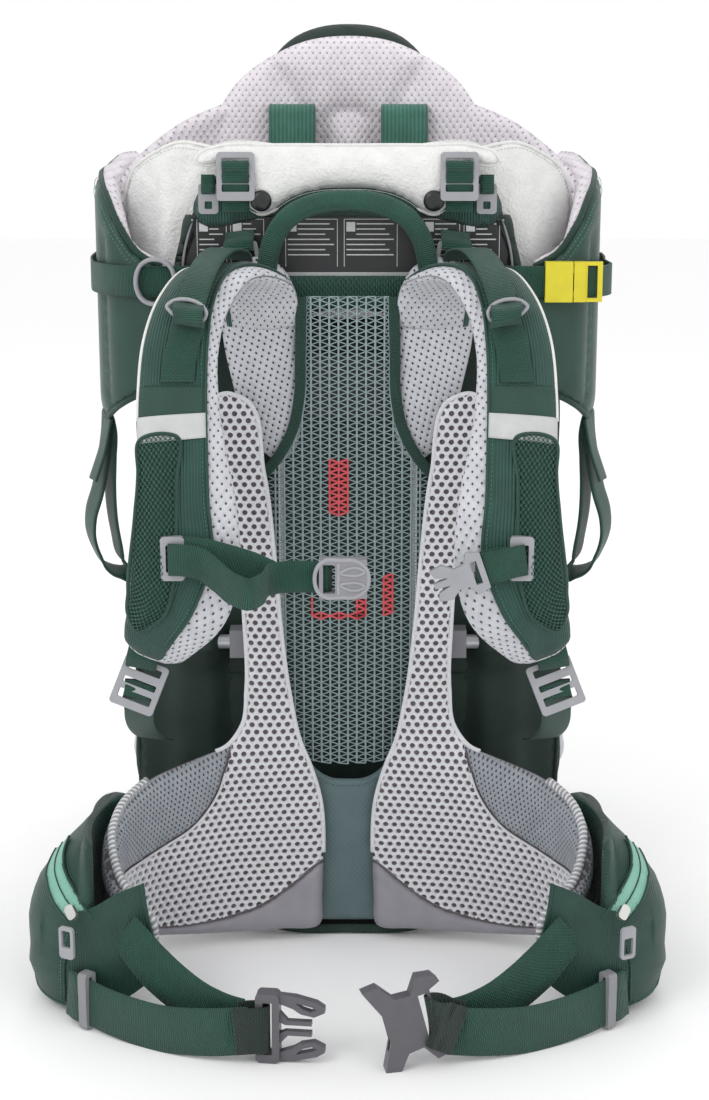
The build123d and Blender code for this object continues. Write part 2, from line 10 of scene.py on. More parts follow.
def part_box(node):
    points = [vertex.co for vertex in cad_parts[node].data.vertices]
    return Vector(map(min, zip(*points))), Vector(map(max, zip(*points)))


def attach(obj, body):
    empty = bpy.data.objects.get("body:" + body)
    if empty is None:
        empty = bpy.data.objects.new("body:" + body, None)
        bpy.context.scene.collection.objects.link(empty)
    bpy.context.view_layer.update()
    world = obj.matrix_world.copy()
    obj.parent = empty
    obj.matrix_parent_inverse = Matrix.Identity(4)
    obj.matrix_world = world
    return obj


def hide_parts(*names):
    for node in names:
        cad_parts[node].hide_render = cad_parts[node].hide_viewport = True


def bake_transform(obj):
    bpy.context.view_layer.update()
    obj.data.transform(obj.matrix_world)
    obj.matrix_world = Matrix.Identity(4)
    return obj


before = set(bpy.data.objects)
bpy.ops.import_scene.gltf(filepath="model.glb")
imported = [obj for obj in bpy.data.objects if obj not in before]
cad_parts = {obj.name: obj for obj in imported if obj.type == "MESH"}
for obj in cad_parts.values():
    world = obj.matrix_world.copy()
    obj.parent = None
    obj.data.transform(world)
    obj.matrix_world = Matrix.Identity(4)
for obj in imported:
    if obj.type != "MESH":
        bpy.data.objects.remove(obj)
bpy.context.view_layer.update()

# ---- Camera, floor and lights --------------------------------------------------------------------
# The carrier stands on its base tray and kickstand on a pale floor. The camera looks at the
# wearer's side, from a little above the middle of the pack. Sizes are metres.

mm = 0.001
eye = bpy.data.objects.new("eye", bpy.data.cameras.new("eye"))
eye.data.lens = 64.9
eye.location = (0.0055, -1.6, 0.7255)
eye.rotation_euler = (math.radians(90 - 13.74), 0, 0)
bpy.context.scene.collection.objects.link(eye)
bpy.context.scene.camera = eye

floor = bpy.data.objects.new("floor", bpy.data.meshes.new("floor"))
floor.data.from_pydata([(-6, -5, 0), (6, -5, 0), (6, 7, 0), (-6, 7, 0)], [], [(0, 1, 2, 3)])
bpy.context.scene.collection.objects.link(floor)
paper = bpy.data.materials.new("floor_paper")
paper.use_nodes = True
paper.node_tree.nodes["Principled BSDF"].inputs["Base Color"].default_value = (0.97, 0.97, 0.97, 1)
paper.node_tree.nodes["Principled BSDF"].inputs["Roughness"].default_value = 0.9
floor.data.materials.append(paper)

sky = bpy.data.worlds.new("studio")
sky.use_nodes = True
sky.node_tree.nodes["Background"].inputs["Color"].default_value = (1, 1, 1, 1)
sky.node_tree.nodes["Background"].inputs["Strength"].default_value = 1.0
bpy.context.scene.world = sky
bpy.context.scene.view_settings.view_transform = "Standard"
for place, size, power in (((-1.5, -1.6, 2.2), 1.2, 16), ((1.7, -1.5, 1.5), 1.6, 5),
        ((0.2, 1.6, 2.2), 1.6, 8)):
    lamp = bpy.data.objects.new("softbox", bpy.data.lights.new("softbox", "AREA"))
    lamp.data.size = size
    lamp.data.energy = power
    lamp.location = place
    lamp.rotation_euler = (Vector((0, 0, 0.35)) - Vector(place)).to_track_quat("-Z", "Y").to_euler()
    bpy.context.scene.collection.objects.link(lamp)


# ---- Tubes, clamps and screws --------------------------------------------------------------------
# The frame is anodised aluminium tube in moulded glass-filled clamps, with zinc-plated screws.
# The tubes keep their drawn shape and get brushed metal; the clamps a fine moulding grain.

def shade(code):
    """A colour from its six-digit code, for a shader."""
    parts = [int(code[i:i + 2], 16) / 255 for i in (0, 2, 4)]
    return tuple(((c + 0.055) / 1.055) ** 2.4 if c > 0.04045 else c / 12.92 for c in parts) + (1.0,)


def node(tree, kind, inputs=None, **settings):
    """Add a shader node, with its inputs linked or set."""
    made = tree.nodes.new("ShaderNode" + kind)
    for key, value in settings.items():
        setattr(made, key, value)
    for key, value in (inputs or {}).items():
        if isinstance(value, bpy.types.Node):
            value = value.outputs[0]
        if isinstance(value, bpy.types.NodeSocket):
            tree.links.new(value, made.inputs[key])
        else:
            made.inputs[key].default_value = value
    return made


def calc(tree, operation, a, b=0.0):
    """Add a maths node."""
    return node(tree, "Math", {0: a, 1: b}, operation=operation)


def wave(tree, coordinate, pitch):
    """A cosine with one crest per pitch metres."""
    return calc(tree, "COSINE", calc(tree, "MULTIPLY", coordinate, 2 * math.pi / pitch))


def speckle(tree, size, detail=2.0):
    """Noise with features of about size metres, fixed to the piece."""
    spot = node(tree, "TexCoord")
    return node(tree, "TexNoise", {"Vector": spot.outputs["Object"], "Scale": 1 / size, "Detail": detail})


def blend_shades(tree, amount, low, high):
    """A ramp between two colours."""
    ramp = node(tree, "ValToRGB", {"Fac": amount})
    ramp.color_ramp.elements[0].color = low
    ramp.color_ramp.elements[1].color = high
    return ramp


nap = 0.4  # how much of a cloth's asked sheen it shows under the studio lights


def surface(name, rough, metal=0.0, sheen=0.0, coat=0.0):
    """A new material with its shader's even values set."""
    made = bpy.data.materials.new(name)
    made.use_nodes = True
    shader = made.node_tree.nodes["Principled BSDF"]
    shader.inputs["Roughness"].default_value = rough
    shader.inputs["Metallic"].default_value = metal
    shader.inputs["Sheen Weight"].default_value = sheen * nap
    shader.inputs["Sheen Roughness"].default_value = 0.5
    shader.inputs["Coat Weight"].default_value = coat
    return made, made.node_tree, shader


def tint(tree, shader, tone):
    """Feed a colour pattern to the shader."""
    tree.links.new(tone.outputs[0], shader.inputs["Base Color"])


def raise_by(tree, shader, height, depth, strength=1.0):
    """Feed a height pattern to the shader as bump of depth metres."""
    bump = node(tree, "Bump", {"Height": height, "Distance": depth, "Strength": strength})
    tree.links.new(bump.outputs[0], shader.inputs["Normal"])


def moulded(name, colour, rough=0.42):
    """Injection-moulded plastic: slight grain, and scuffs that vary its tone."""
    made, tree, shader = surface(name, rough)
    grain = speckle(tree, 0.0008, 3.0)
    cloud = speckle(tree, 0.012)
    dark = tuple(c * 0.82 for c in shade(colour)[:3]) + (1.0,)
    tint(tree, shader, blend_shades(tree, cloud, dark, shade(colour)))
    dull = calc(tree, "MULTIPLY_ADD", cloud, 0.25)
    dull.inputs[2].default_value = rough - 0.1
    tree.links.new(dull.outputs[0], shader.inputs["Roughness"])
    raise_by(tree, shader, grain, 0.00012, 0.5)
    return made


def drawn_metal(name, colour, rough, metal=0.9):
    """Drawn or plated metal with faint streaks."""
    made, tree, shader = surface(name, rough, metal)
    cloud = speckle(tree, 0.006, 4.0)
    dark = tuple(c * 0.85 for c in shade(colour)[:3]) + (1.0,)
    tint(tree, shader, blend_shades(tree, cloud, dark, shade(colour)))
    raise_by(tree, shader, speckle(tree, 0.0005), 0.00005, 0.4)
    return made


light_plastic = moulded("light_grey_plastic", "9fa0a5", 0.36)
mid_plastic = moulded("grey_plastic", "8c8c91", 0.4)
dark_plastic = moulded("dark_grey_plastic", "5d5c62", 0.36)
tube_metal = drawn_metal("anodised_tube", "c3c6ca", 0.34, 0.55)
plated = drawn_metal("plated_steel", "d5d5d2", 0.22)
black_plastic = moulded("black_plastic", "1d1e20", 0.3)


def dress(material, *names, edge=0.0, segments=2):
    """Give drawn nodes a material and, if asked, rounded edges."""
    for name in names:
        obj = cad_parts[name]
        obj.data.materials.clear()
        obj.data.materials.append(material)
        for face in obj.data.polygons:
            face.material_index = 0
        if edge:
            rounded = obj.modifiers.new("rounded", "BEVEL")
            rounded.width = edge
            rounded.segments = segments
            rounded.limit_method = "ANGLE"
            rounded.angle_limit = math.radians(40)


dress(tube_metal, "main_frame", "seat_frame", "cockpit_hoop", "back_stays", "slide_rails", "kickstand")
dress(mid_plastic, "frame_clamps", "kickstand_hinges", "kickstand_eyes", edge=0.0012)
dress(black_plastic, "base_tray", "yoke_plate", edge=0.0012)
dress(plated, "base_screws", "hinge_pins", edge=0.0004)

# ---- Back net ------------------------------------------------------------------------------------
# The net is a warp-knit lattice stretched between the frame tubes: upright chains 7.4 mm apart,
# joined by zigzag threads, with a green bound edge round the two neck cut-outs.

def course(stations, count, closed=False):
    """Evenly spaced rows along a smooth line through the given rows, spaced by their first three."""
    rows = np.array(stations, float)
    if closed:
        rows = np.vstack([rows[-2:], rows, rows[:3]])
    size = min(3, rows.shape[1])
    gaps = np.linalg.norm(np.diff(rows[:, :size], axis=0), axis=1)
    at = np.concatenate([[0], np.cumsum(np.maximum(gaps, 1e-9))])
    if len(rows) > 2:
        slopes = np.gradient(rows, at, axis=0)
    else:
        slopes = np.repeat((rows[1:] - rows[:1]) / at[1], 2, 0)
    first, last = (at[2], at[-3]) if closed else (at[0], at[-1])

    def sample(spots):
        i = np.clip(np.searchsorted(at, spots, "right") - 1, 0, len(at) - 2)
        span = (at[i + 1] - at[i])[:, None]
        t = ((spots - at[i]) / span[:, 0])[:, None]
        return ((2 * t ** 3 - 3 * t ** 2 + 1) * rows[i] + (t ** 3 - 2 * t ** 2 + t) * span * slopes[i]
                + (3 * t ** 2 - 2 * t ** 3) * rows[i + 1] + (t ** 3 - t ** 2) * span * slopes[i + 1])

    fine = np.linspace(first, last, 24 * len(rows))
    dense = sample(fine)
    run = np.concatenate([[0], np.cumsum(np.linalg.norm(np.diff(dense[:, :size], axis=0), axis=1))])
    spots = np.interp(np.linspace(0, run[-1], count + (1 if closed else 0)), run, fine)
    made = sample(spots)
    return made[:-1] if closed else made


def flat_course(line, count, closed=False):
    """A smooth flat line through points in chart coordinates."""
    line = np.asarray(line, float)
    return course(np.hstack([line, np.zeros((len(line), 1))]), count, closed)[:, :2]


def mesh_piece(name, points, faces, material, uv=None, smooth=True):
    """A piece from points in metres and faces, with chart coordinates kept as its UV map."""
    data = bpy.data.meshes.new(name)
    data.from_pydata([tuple(p) for p in points], [], [tuple(int(i) for i in f) for f in faces])
    if uv is not None:
        corner = np.zeros(len(data.loops), np.int32)
        data.loops.foreach_get("vertex_index", corner)
        data.uv_layers.new(name="chart").data.foreach_set("uv", np.asarray(uv, float)[corner].ravel())
    data.validate()
    data.polygons.foreach_set("use_smooth", [smooth] * len(data.polygons))
    made = bpy.data.objects.new(name, data)
    bpy.context.scene.collection.objects.link(made)
    data.materials.append(material)
    return made


def skin(name, rings, material, closed_ring=True, ends=True, loop=False):
    """A surface over rows of points: round each ring, and along the rings."""
    rings = np.asarray(rings, float)
    n, m = rings.shape[:2]
    i, j = np.meshgrid(np.arange(n if loop else n - 1), np.arange(m if closed_ring else m - 1), indexing="ij")
    a, b = i * m + j, i * m + (j + 1) % m
    c, d = ((i + 1) % n) * m + (j + 1) % m, ((i + 1) % n) * m + j
    faces = [list(f) for f in np.stack([a, b, c, d], -1).reshape(-1, 4)]
    if ends and closed_ring and not loop:
        faces += [list(range(m))[::-1], [(n - 1) * m + k for k in range(m)]]
    along = np.concatenate([[0], np.cumsum(np.linalg.norm(np.diff(rings.mean(1), axis=0), axis=1))])
    around = np.linalg.norm(np.diff(rings, axis=1), axis=2).mean(0)
    around = np.concatenate([[0], np.cumsum(around)])
    uv = np.stack(np.broadcast_arrays(around[None, :], along[:, None]), -1).reshape(-1, 2)
    return mesh_piece(name, rings.reshape(-1, 3), faces, material, uv)


def unit(v):
    """Rows of a list scaled to length one."""
    return v / np.maximum(np.linalg.norm(v, axis=-1, keepdims=True), 1e-12)


def piping(name, path, radius, material, sides=8, flat=1.0, facing=None, loop=False):
    """A round or oval cord of fabric sewn along a path; flat below 1 thins it along facing."""
    path = np.asarray(path, float)
    nxt, prv = (np.roll(path, -1, 0), np.roll(path, 1, 0)) if loop else (
        np.vstack([path[1:], path[-1:]]), np.vstack([path[:1], path[:-1]]))
    run = unit(nxt - prv)
    if facing is None:
        up = np.zeros_like(run)
        up[0] = np.cross(run[0], (0.3, 0.9, 0.31))
        for k in range(1, len(path)):
            up[k] = unit(up[k - 1] - run[k] * (up[k - 1] @ run[k]))
        up[0] = unit(up[0])
    else:
        up = np.broadcast_to(np.asarray(facing, float), run.shape)
    up = unit(up - run * (up * run).sum(1, keepdims=True))
    side = np.cross(run, up)
    radius = np.broadcast_to(np.asarray(radius, float), (len(path),))[:, None, None]
    turn = np.arange(sides) * 2 * math.pi / sides
    ring = side[:, None] * np.cos(turn)[None, :, None] + up[:, None] * np.sin(turn)[None, :, None] * flat
    return skin(name, path[:, None] + ring * radius, material, loop=loop)


def stitching(name, path, material, gap=0.0032, radius=0.00035):
    """A row of thread stitches lying along a path."""
    path = np.asarray(path, float)
    run = np.concatenate([[0], np.cumsum(np.linalg.norm(np.diff(path, axis=0), axis=1))])
    starts = np.arange(0.3 * gap, run[-1] - gap, gap)
    points, faces = [], []
    for start in starts:
        ends = [np.array([np.interp(start + f * gap, run, path[:, k]) for k in range(3)]) for f in (0, 0.62)]
        way = unit(ends[1] - ends[0])
        side = unit(np.cross(way, (0.2, -0.95, 0.3)))
        up = np.cross(side, way)
        base = len(points)
        points.append(ends[0] - way * radius * 0.5)
        for share in (0.15, 0.85):
            centre = ends[0] + (ends[1] - ends[0]) * share
            points += [centre + side * radius, centre + up * radius, centre - side * radius,
                       centre - up * radius]
        points.append(ends[1] + way * radius * 0.5)
        for k in range(4):
            a, b = base + 1 + k, base + 1 + (k + 1) % 4
            faces += [(base, b, a), (a, b, b + 4, a + 4), (base + 9, a + 4, b + 4)]
    return mesh_piece(name, points, faces, material)


def joined(name, parts):
    """Several made pieces as one."""
    for part in parts:
        part.select_set(True)
    bpy.context.view_layer.objects.active = parts[0]
    with bpy.context.temp_override(object=parts[0], active_object=parts[0], selected_objects=parts,
                                   selected_editable_objects=parts):
        bpy.ops.object.join()
    parts[0].name = name
    parts[0].select_set(False)
    return parts[0]


def nearest_on(line, spots, closed=True):
    """Distance from each spot to a flat polyline, and the nearest point on it."""
    a = np.asarray(line, float)
    b = np.roll(a, -1, 0)
    if not closed:
        a, b = a[:-1], a[1:]
    best, where = np.full(len(spots), 1e9), np.zeros((len(spots), 2))
    for p, q in zip(a, b):
        run = q - p
        t = np.clip(((spots - p) @ run) / max(run @ run, 1e-18), 0, 1)[:, None]
        near = p + t * run
        gap = np.linalg.norm(spots - near, axis=1)
        closer = gap < best
        best[closer], where[closer] = gap[closer], near[closer]
    return best, where


def contains(line, spots):
    """Which spots are inside a closed flat outline."""
    a = np.asarray(line, float)
    b = np.roll(a, -1, 0)
    inside = np.zeros(len(spots), bool)
    for (x0, y0), (x1, y1) in zip(a, b):
        crosses = (y0 > spots[:, 1]) != (y1 > spots[:, 1])
        reach = (x1 - x0) * (spots[:, 1] - y0) / (y1 - y0 if y1 != y0 else 1e-12) + x0
        inside ^= crosses & (spots[:, 0] < reach)
    return inside


def flat_chart(y):
    """Places chart coordinates on an upright plane that faces the wearer."""
    def place(u, v):
        u, v = np.asarray(u, float), np.asarray(v, float)
        return np.stack([u, np.full_like(u, y), v], -1), np.broadcast_to((0.0, -1.0, 0.0), u.shape + (3,))
    return place


def from_mm(outline, side=1):
    """An outline in metres from one in millimetres, turned over for the left side (-1)."""
    return [(side * x * mm, z * mm) for x, z in outline]


def mirrored(half):
    """A closed outline from its right half, top to bottom, in metres."""
    half = np.array(half, float) * mm
    return np.vstack([half, half[::-1] * (-1, 1)])


def yarn(name, dark, light, rough=0.75, sheen=0.25, size=0.004):
    """Knit or woven yarn with a soft tone change."""
    made, tree, shader = surface(name, rough, sheen=sheen)
    tint(tree, shader, blend_shades(tree, speckle(tree, size, 4.0), shade(dark), shade(light)))
    raise_by(tree, shader, speckle(tree, 0.0007, 3.0), 0.0003, 0.7)
    return made


net_yarn = yarn("net_yarn", "76898b", "9fb0b1")
net_half = course([(33, 546), (34, 500), (35, 462), (40, 438), (54, 413), (71, 396),
                   (70, 350), (66, 300), (60, 250),
                   (54, 208), (46, 170), (36, 158), (18, 153), (0.5, 152)], 90)
net_outline = mirrored(net_half)
chain_gap, zigzag = 0.0074, 0.0055
net_foot, thread_size, chain_size = 0.15, 0.0005, 0.00085
columns, rows = np.meshgrid(np.arange(-10, 11), np.arange(0, 75), indexing="ij")
spots = np.stack([columns * chain_gap, net_foot + (rows + 0.5 * (columns % 2)) * zigzag], -1).reshape(-1, 2)
net_in = contains(net_outline, spots)
reach, snapped = nearest_on(net_outline, spots)
keep = net_in | (reach < 0.75 * chain_gap)
spots = np.where(net_in[:, None], spots, snapped)
index = {}
for k, (c, r) in enumerate(zip(columns.ravel(), rows.ravel())):
    if keep[k]:
        index[(c, r)] = k
threads, wales = [], []
for (c, r), k in index.items():
    lower = r if c % 2 else r - 1
    near = [(c + 1, lower), (c + 1, lower + 1)]
    if near[0] in index and near[1] in index:
        threads += [(k, index[near[0]]), (k, index[near[1]])]
    if (c, r + 1) in index:
        wales.append((k, index[(c, r + 1)]))


def struts(name, points, pairs, radius, material, sides=5):
    """Short threads between pairs of points, as one piece."""
    points = np.asarray(points, float)
    a, b = points[[p[0] for p in pairs]], points[[p[1] for p in pairs]]
    way = unit(b - a)
    side = unit(np.cross(way, (0.05, 1.0, 0.02)))
    up = np.cross(side, way)
    turn = np.arange(sides) * 2 * math.pi / sides
    ring = (side[:, None] * np.cos(turn)[None, :, None] + up[:, None] * np.sin(turn)[None, :, None]) * radius
    rings = np.stack([a[:, None] + ring, b[:, None] + ring], 1)
    base = np.arange(len(pairs))[:, None] * 2 * sides
    k = np.arange(sides)[None, :]
    n = (k + 1) % sides
    faces = np.stack([base + k, base + n, base + sides + n, base + sides + k], -1).reshape(-1, 4)
    return mesh_piece(name, rings.reshape(-1, 3), faces, material)


net_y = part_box("back_net")[0].y + 0.001
flat = np.stack([spots[:, 0], np.full(len(spots), net_y), spots[:, 1]], -1)
wavy = flat + np.stack([np.zeros(len(spots)), 0.0004 * np.sin(spots[:, 0] * 900), np.zeros(len(spots))], -1)
net_gauze = joined("back_net_lattice", [
    struts("net_threads", wavy, threads, thread_size, net_yarn),
    struts("net_wales", wavy, wales, chain_size, net_yarn, 6)])
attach(net_gauze, "frame")
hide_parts("back_net")


def chart_axes(tree):
    """The two chart coordinates of a piece, in metres."""
    return node(tree, "SeparateXYZ", {0: node(tree, "UVMap", uv_map="chart")}).outputs


def folded_cloth(name, dark, light, rib=0.0, along=0, rough=0.62, sheen=0.2, depth=0.0003):
    """Woven pack cloth, plain or with raised ribs one way of its chart."""
    made, tree, shader = surface(name, rough, sheen=sheen)
    cloud = speckle(tree, 0.02, 3.0)
    tone = blend_shades(tree, cloud, shade(dark), shade(light))
    fine = speckle(tree, 0.0009, 2.0)
    if rib:
        chart = chart_axes(tree)
        ribs = wave(tree, chart[along], rib)
        cross = wave(tree, chart[1 - along], rib * 0.45)
        height = calc(tree, "ADD", ribs, calc(tree, "MULTIPLY", cross, 0.25))
        shadow = node(tree, "MapRange", {"Value": ribs, "From Min": -1.0, "From Max": 0.3,
            "To Min": 0.62, "To Max": 1.0})
        mix = node(tree, "MixRGB", {0: 1.0, 1: tone, 2: shadow}, blend_type="MULTIPLY")
        tint(tree, shader, mix)
        raise_by(tree, shader, height, depth, 0.8)
    else:
        tint(tree, shader, tone)
        raise_by(tree, shader, fine, depth, 0.6)
    return made


green_binding = folded_cloth("green_binding", "10352b", "1c4b3e", 0.0016, 1)
thread_dark = yarn("dark_thread", "14352c", "1e4a3d")
thread_green = yarn("green_thread", "3d7a67", "4f8f7b")
seam_gap, seam_thread = 0.0034, 0.0003
neck_edges = []
for side in (-1, 1):
    edge = course([(side * x * mm, net_y - 0.0012, z * mm) for x, z in
                   [(37, 546), (38, 500), (39, 466), (45, 438), (58, 414), (76, 394)]], 60)
    neck_edges.append(piping("neck_binding", edge, 0.0044, green_binding, 12, 0.42, (0, -1, 0)))
    for off in (-0.0022, 0.0024):
        lane = edge + np.array([off, -0.0019, 0])
        neck_edges.append(stitching("neck_stitch", lane, thread_dark, 0.0036, seam_thread))
neck_binding = joined("net_neck_bindings", neck_edges)
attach(neck_binding, "frame")

# A generic printed guide on the net: blocks of bars, as sizing marks, with no words in them.
print_red = yarn("red_print", "c9414a", "e0626a", 0.5, 0.0)
bars = []
for left, low, wide, high in ((-22, 366, 22, 49), (26, 281, 17, 38), (-35, 277, 50, 8),
        (-35, 277, 9, 24), (6, 277, 9, 24)):
    inside = [(a, b) for a, b in threads + wales if all(
        left * mm <= spots[k][0] <= (left + wide) * mm and low * mm <= spots[k][1] <= (low + high) * mm
        for k in (a, b))]
    if inside:
        bars.append(struts("net_print", wavy - np.array([0, 0.0002, 0]), inside, 0.0009, print_red))
net_print = joined("net_print", bars)
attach(net_print, "frame")

# ---- Lumbar panel --------------------------------------------------------------------------------
# A slate softshell panel below the net, sewn between the two lumbar pads. Its top edge dips in a
# round U under the net, with a stitched hem.

def quilt(name, outline, material, chart, front, back, seams=(), puff=0.012, step=0.004,
          stuffing=0.0, dip=0.25):
    """A sewn pad over a flat outline in chart coordinates. It is crowned between its edge and its
    seams by up to front metres, over puff metres from them, and by back metres behind."""
    outline = np.asarray(outline, float)
    length = np.linalg.norm(outline - np.roll(outline, -1, 0), axis=1).sum()
    edge = flat_course(outline, max(12, int(length / step)), True)
    lines = []
    for seam in seams:
        seam = np.asarray(seam, float)
        run = np.linalg.norm(np.diff(seam, axis=0), axis=1).sum()
        lines.append(flat_course(seam, max(4, int(run / step))))
    low, high = edge.min(0), edge.max(0)
    rows = np.arange(low[1], high[1], step * 0.87)
    grid = np.array([(x + (k % 2) * step / 2, y) for k, y in enumerate(rows)
                     for x in np.arange(low[0], high[0], step)])
    away = nearest_on(edge, grid)[0]
    for line in lines:
        away = np.minimum(away, nearest_on(line, grid, False)[0])
    grid = grid[contains(edge, grid) & (away > 0.55 * step)]
    spots = [edge] + lines + [grid]
    links = [(k, (k + 1) % len(edge)) for k in range(len(edge))]
    base = len(edge)
    for line in lines:
        links += [(base + k, base + k + 1) for k in range(len(line) - 1)]
        base += len(line)
    flat = np.vstack(spots)
    cut = delaunay_2d_cdt([Vector(p) for p in flat], links, [list(range(len(edge)))], 1, 1e-6)
    flat = np.array([tuple(p) for p in cut[0]])
    faces = [f for f in cut[2] if len(f) == 3]
    rim = nearest_on(edge, flat)[0]
    near = rim.copy()
    for line in lines:
        near = np.minimum(near, nearest_on(line, flat, False)[0] + dip * puff * 0.4)
    crown = np.sqrt(np.maximum(0, 1 - (1 - np.clip(near / puff, 0, 1)) ** 2))
    shell = np.sqrt(np.maximum(0, 1 - (1 - np.clip(rim / (puff * 0.6), 0, 1)) ** 2))
    place, normal = chart(flat[:, 0], flat[:, 1])
    over = place + normal * (front * crown)[:, None]
    under = place - normal * (back * shell)[:, None]
    border = rim < 1e-5
    number = np.where(border, np.arange(len(flat)), len(flat) + np.arange(len(flat)))
    all_faces = [tuple(f) for f in faces] + [tuple(number[k] for k in f[::-1]) for f in faces]
    points = np.vstack([over, under])
    used = np.zeros(len(points), bool)
    used[np.unique(np.array(all_faces).ravel())] = True
    renumber = np.cumsum(used) - 1
    made = mesh_piece(name, points[used], renumber[np.array(all_faces)], material,
                      np.vstack([flat, flat])[used])
    if stuffing:
        swell(made, np.concatenate([near <= 1e-5 + dip * puff * 0.4, shell < 2])[used], stuffing)
    return made


def swell(piece, held, limit):
    """Fill a sewn pad with a short pressure simulation, its seams and back held, and keep the
    result within limit metres of the cut shape."""
    group = piece.vertex_groups.new(name="sewn")
    group.add([int(k) for k in np.nonzero(held)[0]], 1.0, "REPLACE")
    start = np.array([v.co for v in piece.data.vertices])
    cloth = piece.modifiers.new("filling", "CLOTH")
    cloth.settings.vertex_group_mass = "sewn"
    cloth.settings.use_pressure = True
    cloth.settings.uniform_pressure_force = 4
    cloth.settings.effector_weights.gravity = 0
    cloth.settings.quality = 4
    cloth.settings.tension_stiffness = 8
    cloth.settings.bending_stiffness = 0.3
    cloth.point_cache.frame_start = 1
    cloth.point_cache.frame_end = 16
    for now in range(1, 17):
        bpy.context.scene.frame_set(now)
    settled = piece.evaluated_get(bpy.context.evaluated_depsgraph_get())
    ended = np.array([v.co for v in settled.data.vertices])
    piece.modifiers.remove(cloth)
    bpy.context.scene.frame_set(1)
    move = ended - start
    size = np.linalg.norm(move, axis=1, keepdims=True)
    move *= np.minimum(1, limit / np.maximum(size, 1e-9))
    piece.data.vertices.foreach_set("co", (start + np.nan_to_num(move)).astype(np.float32).ravel())
    piece.data.update()


slate, slate_tree, slate_shader = surface("slate_softshell", 0.7, sheen=0.3)
slate_tone = blend_shades(slate_tree, speckle(slate_tree, 0.03, 2.0), shade("4d6164"), shade("63787b"))
slate_chart = chart_axes(slate_tree)
dots = calc(slate_tree, "MULTIPLY", wave(slate_tree, slate_chart[0], 0.0042),
            wave(slate_tree, slate_chart[1], 0.0052))
dotted = node(slate_tree, "MapRange", {"Value": dots, "From Min": 0.3, "From Max": 0.9,
    "To Min": 1.0, "To Max": 0.84})
mixed = node(slate_tree, "MixRGB", {0: 1.0, 1: slate_tone, 2: dotted}, blend_type="MULTIPLY")
tint(slate_tree, slate_shader, mixed)
relief = calc(slate_tree, "SUBTRACT", speckle(slate_tree, 0.0008), dots)
raise_by(slate_tree, slate_shader, relief, 0.0002, 0.5)
panel_outline = mirrored([(0.5, 141), (14, 142), (26, 149), (35, 162), (41, 182), (38, 160),
    (31, 134), (27, 100), (26, 60),
                          (27, 14), (14, 13), (0.5, 13)])
panel_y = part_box("lumbar_panel")[0].y
lumbar = quilt("lumbar_panel_cloth", panel_outline, slate, flat_chart(panel_y + 0.002),
               0.004, 0.003, puff=0.02)
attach(lumbar, "frame")
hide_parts("lumbar_panel")
hem = course([(-40, 176), (-34, 158), (-26, 145), (-14, 137.5), (0, 136), (14, 137.5), (26, 145),
              (34, 158), (40, 176)], 80)
hem = np.stack([hem[:, 0] * mm, np.full(len(hem), panel_y - 0.0022), hem[:, 1] * mm], -1)
lumbar_hem = stitching("lumbar_hem_stitch", hem, yarn("slate_thread", "3c4d50", "52666a"))
lumbar_hem.parent = lumbar

# ---- Back pads and hip fins ----------------------------------------------------------------------
# Each side is one pad: a narrow upright band, the lumbar pad, and the fin that curls round the hip.
# Its face is a thick spacer knit with open six-sided cells over a dark core; the fin's top is a
# finer knit, its bottom a smooth hem, and its rim a braided edge.

fin_plan = [(18, -31), (28, -32), (42, -33), (70, -37), (97, -42), (135, -57), (163, -73), (182, -98),
            (188, -125), (181, -150), (165, -170), (150, -180)]
plan = course([(x * mm, y * mm, 0) for x, y in fin_plan], 400)
plan_run = np.concatenate([[0], np.cumsum(np.linalg.norm(np.diff(plan, axis=0), axis=1))])
plan_way = unit(np.gradient(plan, axis=0))
band_mid = -0.027


def back_chart(side, lift=0.0):
    """Chart of one side's pad: distance round the hip, and height."""
    def place(u, v):
        u, v = np.asarray(u, float), np.asarray(v, float)
        x, y = (np.interp(u, plan_run, plan[:, k]) for k in (0, 1))
        a, b = (np.interp(u, plan_run, plan_way[:, k]) for k in (0, 1))
        t = np.clip((v - 0.15) / 0.07, 0, 1)
        t = t * t * (3 - 2 * t)
        y = y + (band_mid - y) * t
        a, b = a * (1 - t) + t, b * (1 - t)
        normal = unit(np.stack([side * b, -a, np.zeros_like(a)], -1))
        return np.stack([side * x, y, v], -1) + normal * lift, normal
    return place


def run_of(x):
    """Chart distance of a place on the lumbar pad at x millimetres from the middle."""
    return float(np.interp(x * mm, plan[:240, 0], plan_run[:240]))


tip = float(plan_run[-1])
pad_outline = [(run_of(x), z * mm) for x, z in ((24, 14), (22, 40), (21, 77),
    (24, 130), (32, 158), (40, 178))]
pad_outline += [(run_of(x), z * mm) for x, z in ((48, 215), (56, 282), (60, 333), (68, 405), (84, 466),
    (98, 470), (110, 464))]
pad_outline += [(run_of(x), z * mm) for x, z in ((97, 405), (88, 333), (85, 282), (84, 222), (88, 192))]
pad_outline += [(s, z * mm) for s, z in ((0.084, 176), (0.1, 171), (0.121, 166), (0.153, 158), (0.185, 147),
                                         (0.213, 130), (0.239, 110), (0.265, 94), (tip - 0.003, 82),
                                         (tip, 66), (tip - 0.003, 50))]
pad_outline += [(s, z * mm) for s, z in ((0.265, 44), (0.239, 42), (0.213, 36), (0.185, 30), (0.153, 22),
    (0.121, 16), (0.09, 12), (0.04, 11))]
pad_edge = flat_course(pad_outline, 420, True)
fine_low = [(0.079, 0.180), (0.086, 0.156), (0.092, 0.140), (0.113, 0.114), (0.141, 0.100),
            (0.166, 0.093), (0.2, 0.09),
            (0.24, 0.084), (0.27, 0.07), (tip + 0.004, 0.062)]
